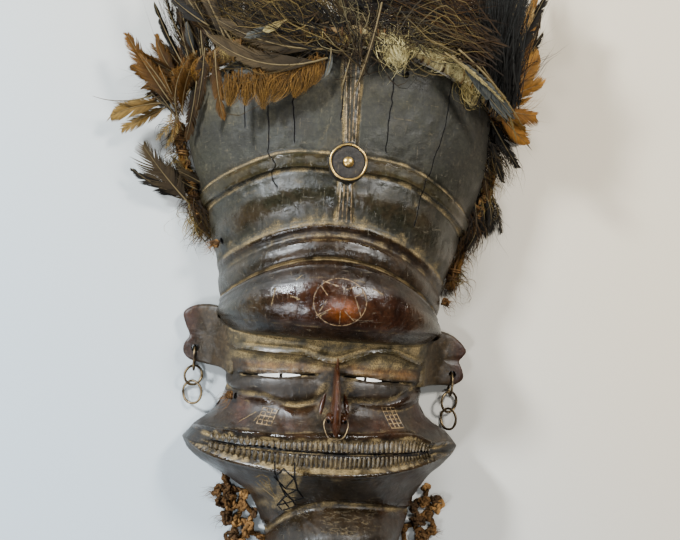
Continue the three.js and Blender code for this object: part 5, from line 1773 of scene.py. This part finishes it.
def wood_paint():
    """Old hardwood under soot, oil and handling: a mottled dark film, glossier where it is rubbed,
    powdery ochre dust in the hollows, hair scratches, tool facets and an open upright grain, with
    painted shade, near black, in its holes, cracks, deep cuts and sunk mouth."""
    paint = Paint("carved wood")
    tone = paint.attribute("tone", colour=True)
    dust, worn, cut = paint.attribute("dust"), paint.attribute("worn"), paint.attribute("cut")
    cloud = paint.noise(52, 5, 0.65)
    fine = paint.noise(360, 4, 0.65)
    grit = paint.noise(1300, 2, 0.6)
    facet = paint.noise(105, 2, 0.45)
    grain = paint.noise(60, 5, 0.65, paint.place((7, 0.45, 7)), 0.3)
    upright = paint.noise(95, 3, 0.6, paint.place((10, 0.7, 3)))
    across = paint.noise(80, 3, 0.6, paint.place((0.8, 9, 2)), 0.8)
    hairs = (upright.band(0.63, 0.7) + across.band(0.64, 0.7)) * fine.band(0.4, 0.56)
    colour = paint.mix(1.0, tone, paint.ramp(fine * 0.6 + cloud * 0.4, SPOTS), "MULTIPLY")
    colour = paint.mix(grain.band(0.5, 0.75) * 0.45, colour, srgb(24, 19, 15))
    colour = paint.mix(hairs.clamp() * 0.4, colour, srgb(96, 86, 66))
    colour = paint.mix(worn * cloud.band(0.4, 0.62) * 0.2, colour, srgb(70, 48, 30))
    mask = dust * 1.2 + (fine - 0.5) * 0.5 + (grit - 0.5) * 0.35 + (cloud - 0.5) * 0.5 - 0.1
    mask = mask.band(0.05, 0.95)
    ochre = paint.mix(grit.band(0.35, 0.65), srgb(74, 60, 38), srgb(146, 124, 82))
    colour = paint.mix(mask * 0.85, colour, ochre)
    colour = paint.mix(scorings(paint, fine.band(0.44, 0.54)) * 0.75, colour, srgb(148, 122, 86))
    # Painted shade: the walls of holes, cracks and deep cuts, and the sunk mouth, go near black by the cut
    # value.
    colour = paint.mix(cut * (1 - dust.clamp()) * 0.92, colour, srgb(12, 9, 8))
    rough = 0.52 + cloud.band(0.35, 0.7) * (1 - worn) * 0.18 + grit * 0.1 + mask * 0.4 + hairs * 0.15
    rough = rough - worn * 0.6
    normal = paint.bump(grain, 0.3, 0.4)
    normal = paint.bump(facet, 1.3, 0.5, normal)
    normal = paint.bump((cloud + across * 0.25) * (1 - worn * 0.8), 1.0, 0.42, normal)
    normal = paint.bump(fine + grit * 0.7 - hairs * 0.6, 0.3, 0.6, normal)
    return paint.finish({"Base Color": colour, "Roughness": rough, "Normal": normal,
                         "Specular IOR Level": 0.3})


def feather_paint():
    """Dull barbs with a faint gloss, in the colours that the mesh holds."""
    paint = Paint("feathers")
    tone = paint.attribute("tone", colour=True)
    mottle = paint.noise(240, 3, 0.6)
    colour = paint.mix(1.0, tone, paint.mix(mottle, (0.22, 0.2, 0.16), (0.7, 0.64, 0.54)), "MULTIPLY")
    return paint.finish({"Base Color": colour, "Roughness": 0.6 + mottle * 0.2, "Specular IOR Level": 0.1,
                         "Normal": paint.bump(mottle, 0.1, 0.3)})


def metal_paint(name, bright, dull, stain, rough):
    """Old wire or a stud: bright where it is rubbed, dull and stained elsewhere."""
    paint = Paint(name)
    cloud = paint.noise(160, 4, 0.6)
    specks = paint.noise(700, 3, 0.6)
    colour = paint.mix(cloud.band(0.35, 0.65), bright, dull)
    colour = paint.mix(specks.band(0.55, 0.7) * 0.8, colour, stain)
    return paint.finish({"Base Color": colour, "Metallic": 0.95 - specks.band(0.5, 0.7) * 0.5,
                         "Roughness": rough + cloud * 0.2, "Normal": paint.bump(specks, 0.12, 0.5)})


def fibre_paint(name, dark):
    """Dry bast, hair and hide: the colour that the mesh holds, mottled and dusty."""
    paint = Paint(name)
    tone = paint.attribute("tone", colour=True)
    cloud = paint.noise(90, 4, 0.6)
    fine = paint.noise(900, 3, 0.6)
    colour = paint.mix(1.0, tone, paint.mix(cloud.band(0.4, 0.65), (0.85, 0.84, 0.8), dark), "MULTIPLY")
    colour = paint.mix(fine.band(0.5, 0.72) * 0.3, colour, srgb(124, 100, 64))
    lumps = paint.bump(cloud, 0.5, 0.3)
    return paint.finish({"Base Color": colour, "Roughness": 0.85 + fine * 0.1, "Specular IOR Level": 0.12,
                         "Normal": paint.bump(fine, 0.2, 0.6, lumps)})


# Wire and stud: name, bright, dull and stained colours, and roughness
IRON = ("dark wire", srgb(128, 108, 76), srgb(58, 48, 38), srgb(36, 28, 22), 0.34)
BRASS = ("brass", srgb(206, 172, 100), srgb(158, 126, 70), srgb(84, 62, 36), 0.24)
BAST_DARK, HIDE_DARK = (0.25, 0.23, 0.2), (0.42, 0.39, 0.33)


# Stage

# The camera's sensor in millimetres, and the picture's width in pixels
SENSOR, PICTURE_WIDTH = 36, 680


def set_stage():
    """The camera looks down on the mask as it lies, a little from its right, over a pale floor painted with
    cool light at one corner and warm light at the other.
    """
    lens = bpy.data.cameras.new("camera")
    lens.sensor_width = SENSOR
    lens.lens = SENSOR * FOCAL_PIXELS / PICTURE_WIDTH
    lens.clip_start = 0.05
    camera = bpy.data.objects.new("camera", lens)
    turn = Matrix(VIEW_TURN.T.tolist()).to_4x4()
    turn.translation = Vector(place(EYE))
    camera.matrix_world = turn
    bpy.context.scene.collection.objects.link(camera)
    bpy.context.scene.camera = camera
    floor = bpy.data.meshes.new("floor")
    floor.from_pydata([(-3, -3, 0), (3, -3, 0), (3, 3, 0), (-3, 3, 0)], [], [(0, 1, 2, 3)])
    ground = bpy.data.objects.new("floor", floor)
    bpy.context.scene.collection.objects.link(ground)
    paint = Paint("floor paint")
    # Painted light on the floor: cooler towards the lower left, warmer and brighter towards the upper right.
    painted_light_slope = paint.vector("DOT_PRODUCT", paint.place(), (0.8, 0.6, 0), output=1)
    grain = paint.noise(900, 2, 0.5)
    shade = paint.mix((painted_light_slope + grain * 0.06).band(-0.3, 0.3), srgb(166, 178, 186), srgb(188, 175, 154))
    paint.finish({"Base Color": shade, "Roughness": 0.9})
    floor.materials.append(paint.material)
    lamp("key", (-1.3, 0.88, 1.0), (0.22, 0.2), 104, (0.88, 0.95, 1.0))
    lamp("fill", (0.78, 0.8, 1.2), (0.3, 0.26), 42, (0.98, 0.98, 0.95))
    lamp("low", (-0.8, -0.75, 1.05), (0.3, 0.26), 19, (0.9, 0.95, 1.0))
    lamp("front", (0.06, -0.28, 1.3), (0.1, 0.08), 5, (0.9, 0.95, 1.0))
    lamp("inside", (0.009, -0.1, 0.045), (0.1, 0.1), 0.34, (1.0, 1.0, 1.0), (0.009, -0.1, 0))
    world = bpy.data.worlds.new("studio")
    world.use_nodes = True
    world.node_tree.nodes["Background"].inputs["Color"].default_value = (0.93, 0.96, 1.0, 1)
    world.node_tree.nodes["Background"].inputs["Strength"].default_value = 0.1
    bpy.context.scene.world = world


def lamp(name, at, size, power, colour, aim=(0.01, 0.03, 0.05)):
    """A soft rectangular light that faces a point."""
    light = bpy.data.lights.new(name, "AREA")
    light.shape = "RECTANGLE"
    light.size, light.size_y = size
    light.energy = power
    light.color = colour
    thing = bpy.data.objects.new(name, light)
    turn = (Vector(aim) - Vector(at)).to_track_quat("-Z", "Y").to_matrix().to_4x4()
    turn.translation = Vector(at)
    thing.matrix_world = turn
    bpy.context.scene.collection.objects.link(thing)


def show(piece, material, *nodes):
    """Gives a finished piece its material and its body, and lets it stand for the frame's nodes."""
    piece.data.materials.clear()
    piece.data.materials.append(material)
    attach(piece, "root")
    if nodes:
        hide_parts(*nodes)


# Edges of the wood that turn by more than this stay sharp
SHARP_DEGREES = 48

set_stage()
wood = carved_wood()
wood.data.set_sharp_from_angle(angle=math.radians(SHARP_DEGREES))
show(wood, wood_paint(), "carved_mask")

feathers = feather_paint()
for bundle, heap in plumage().items():
    plumes = heap.build(bundle.replace("_", "_plumes_"))
    show(plumes, feathers, bundle.replace("_", "_feathers_"))

iron, brass = metal_paint(*IRON), metal_paint(*BRASS)
metal_pieces(iron, brass)

bast = fibre_paint("bast", BAST_DARK)
hide = fibre_paint("hide and down", HIDE_DARK)
binding = crown_binding()
show(binding, hide, "feather_binding")
fibres = [
    (chin_netting(), "chin_net"),
    (hole_knot("left_temple_cord", "left_temple_knot", 3.3, 3), "left_temple_knot"),
    (hole_knot("left_cheek_cord", "left_cheek_knot", 2.9, 5), "left_cheek_knot"),
    (hole_knot("right_temple_cord", "right_temple_knot", 3.1, 8), "right_temple_knot"),
    (side_fibres("left_side_fibres", -1, 188, 272, 91), "left_side_binding"),
    (side_fibres("right_side_fibres", 1, 166, 272, 95), "right_side_binding"),
]
for piece, node in fibres:
    show(piece, bast, node)
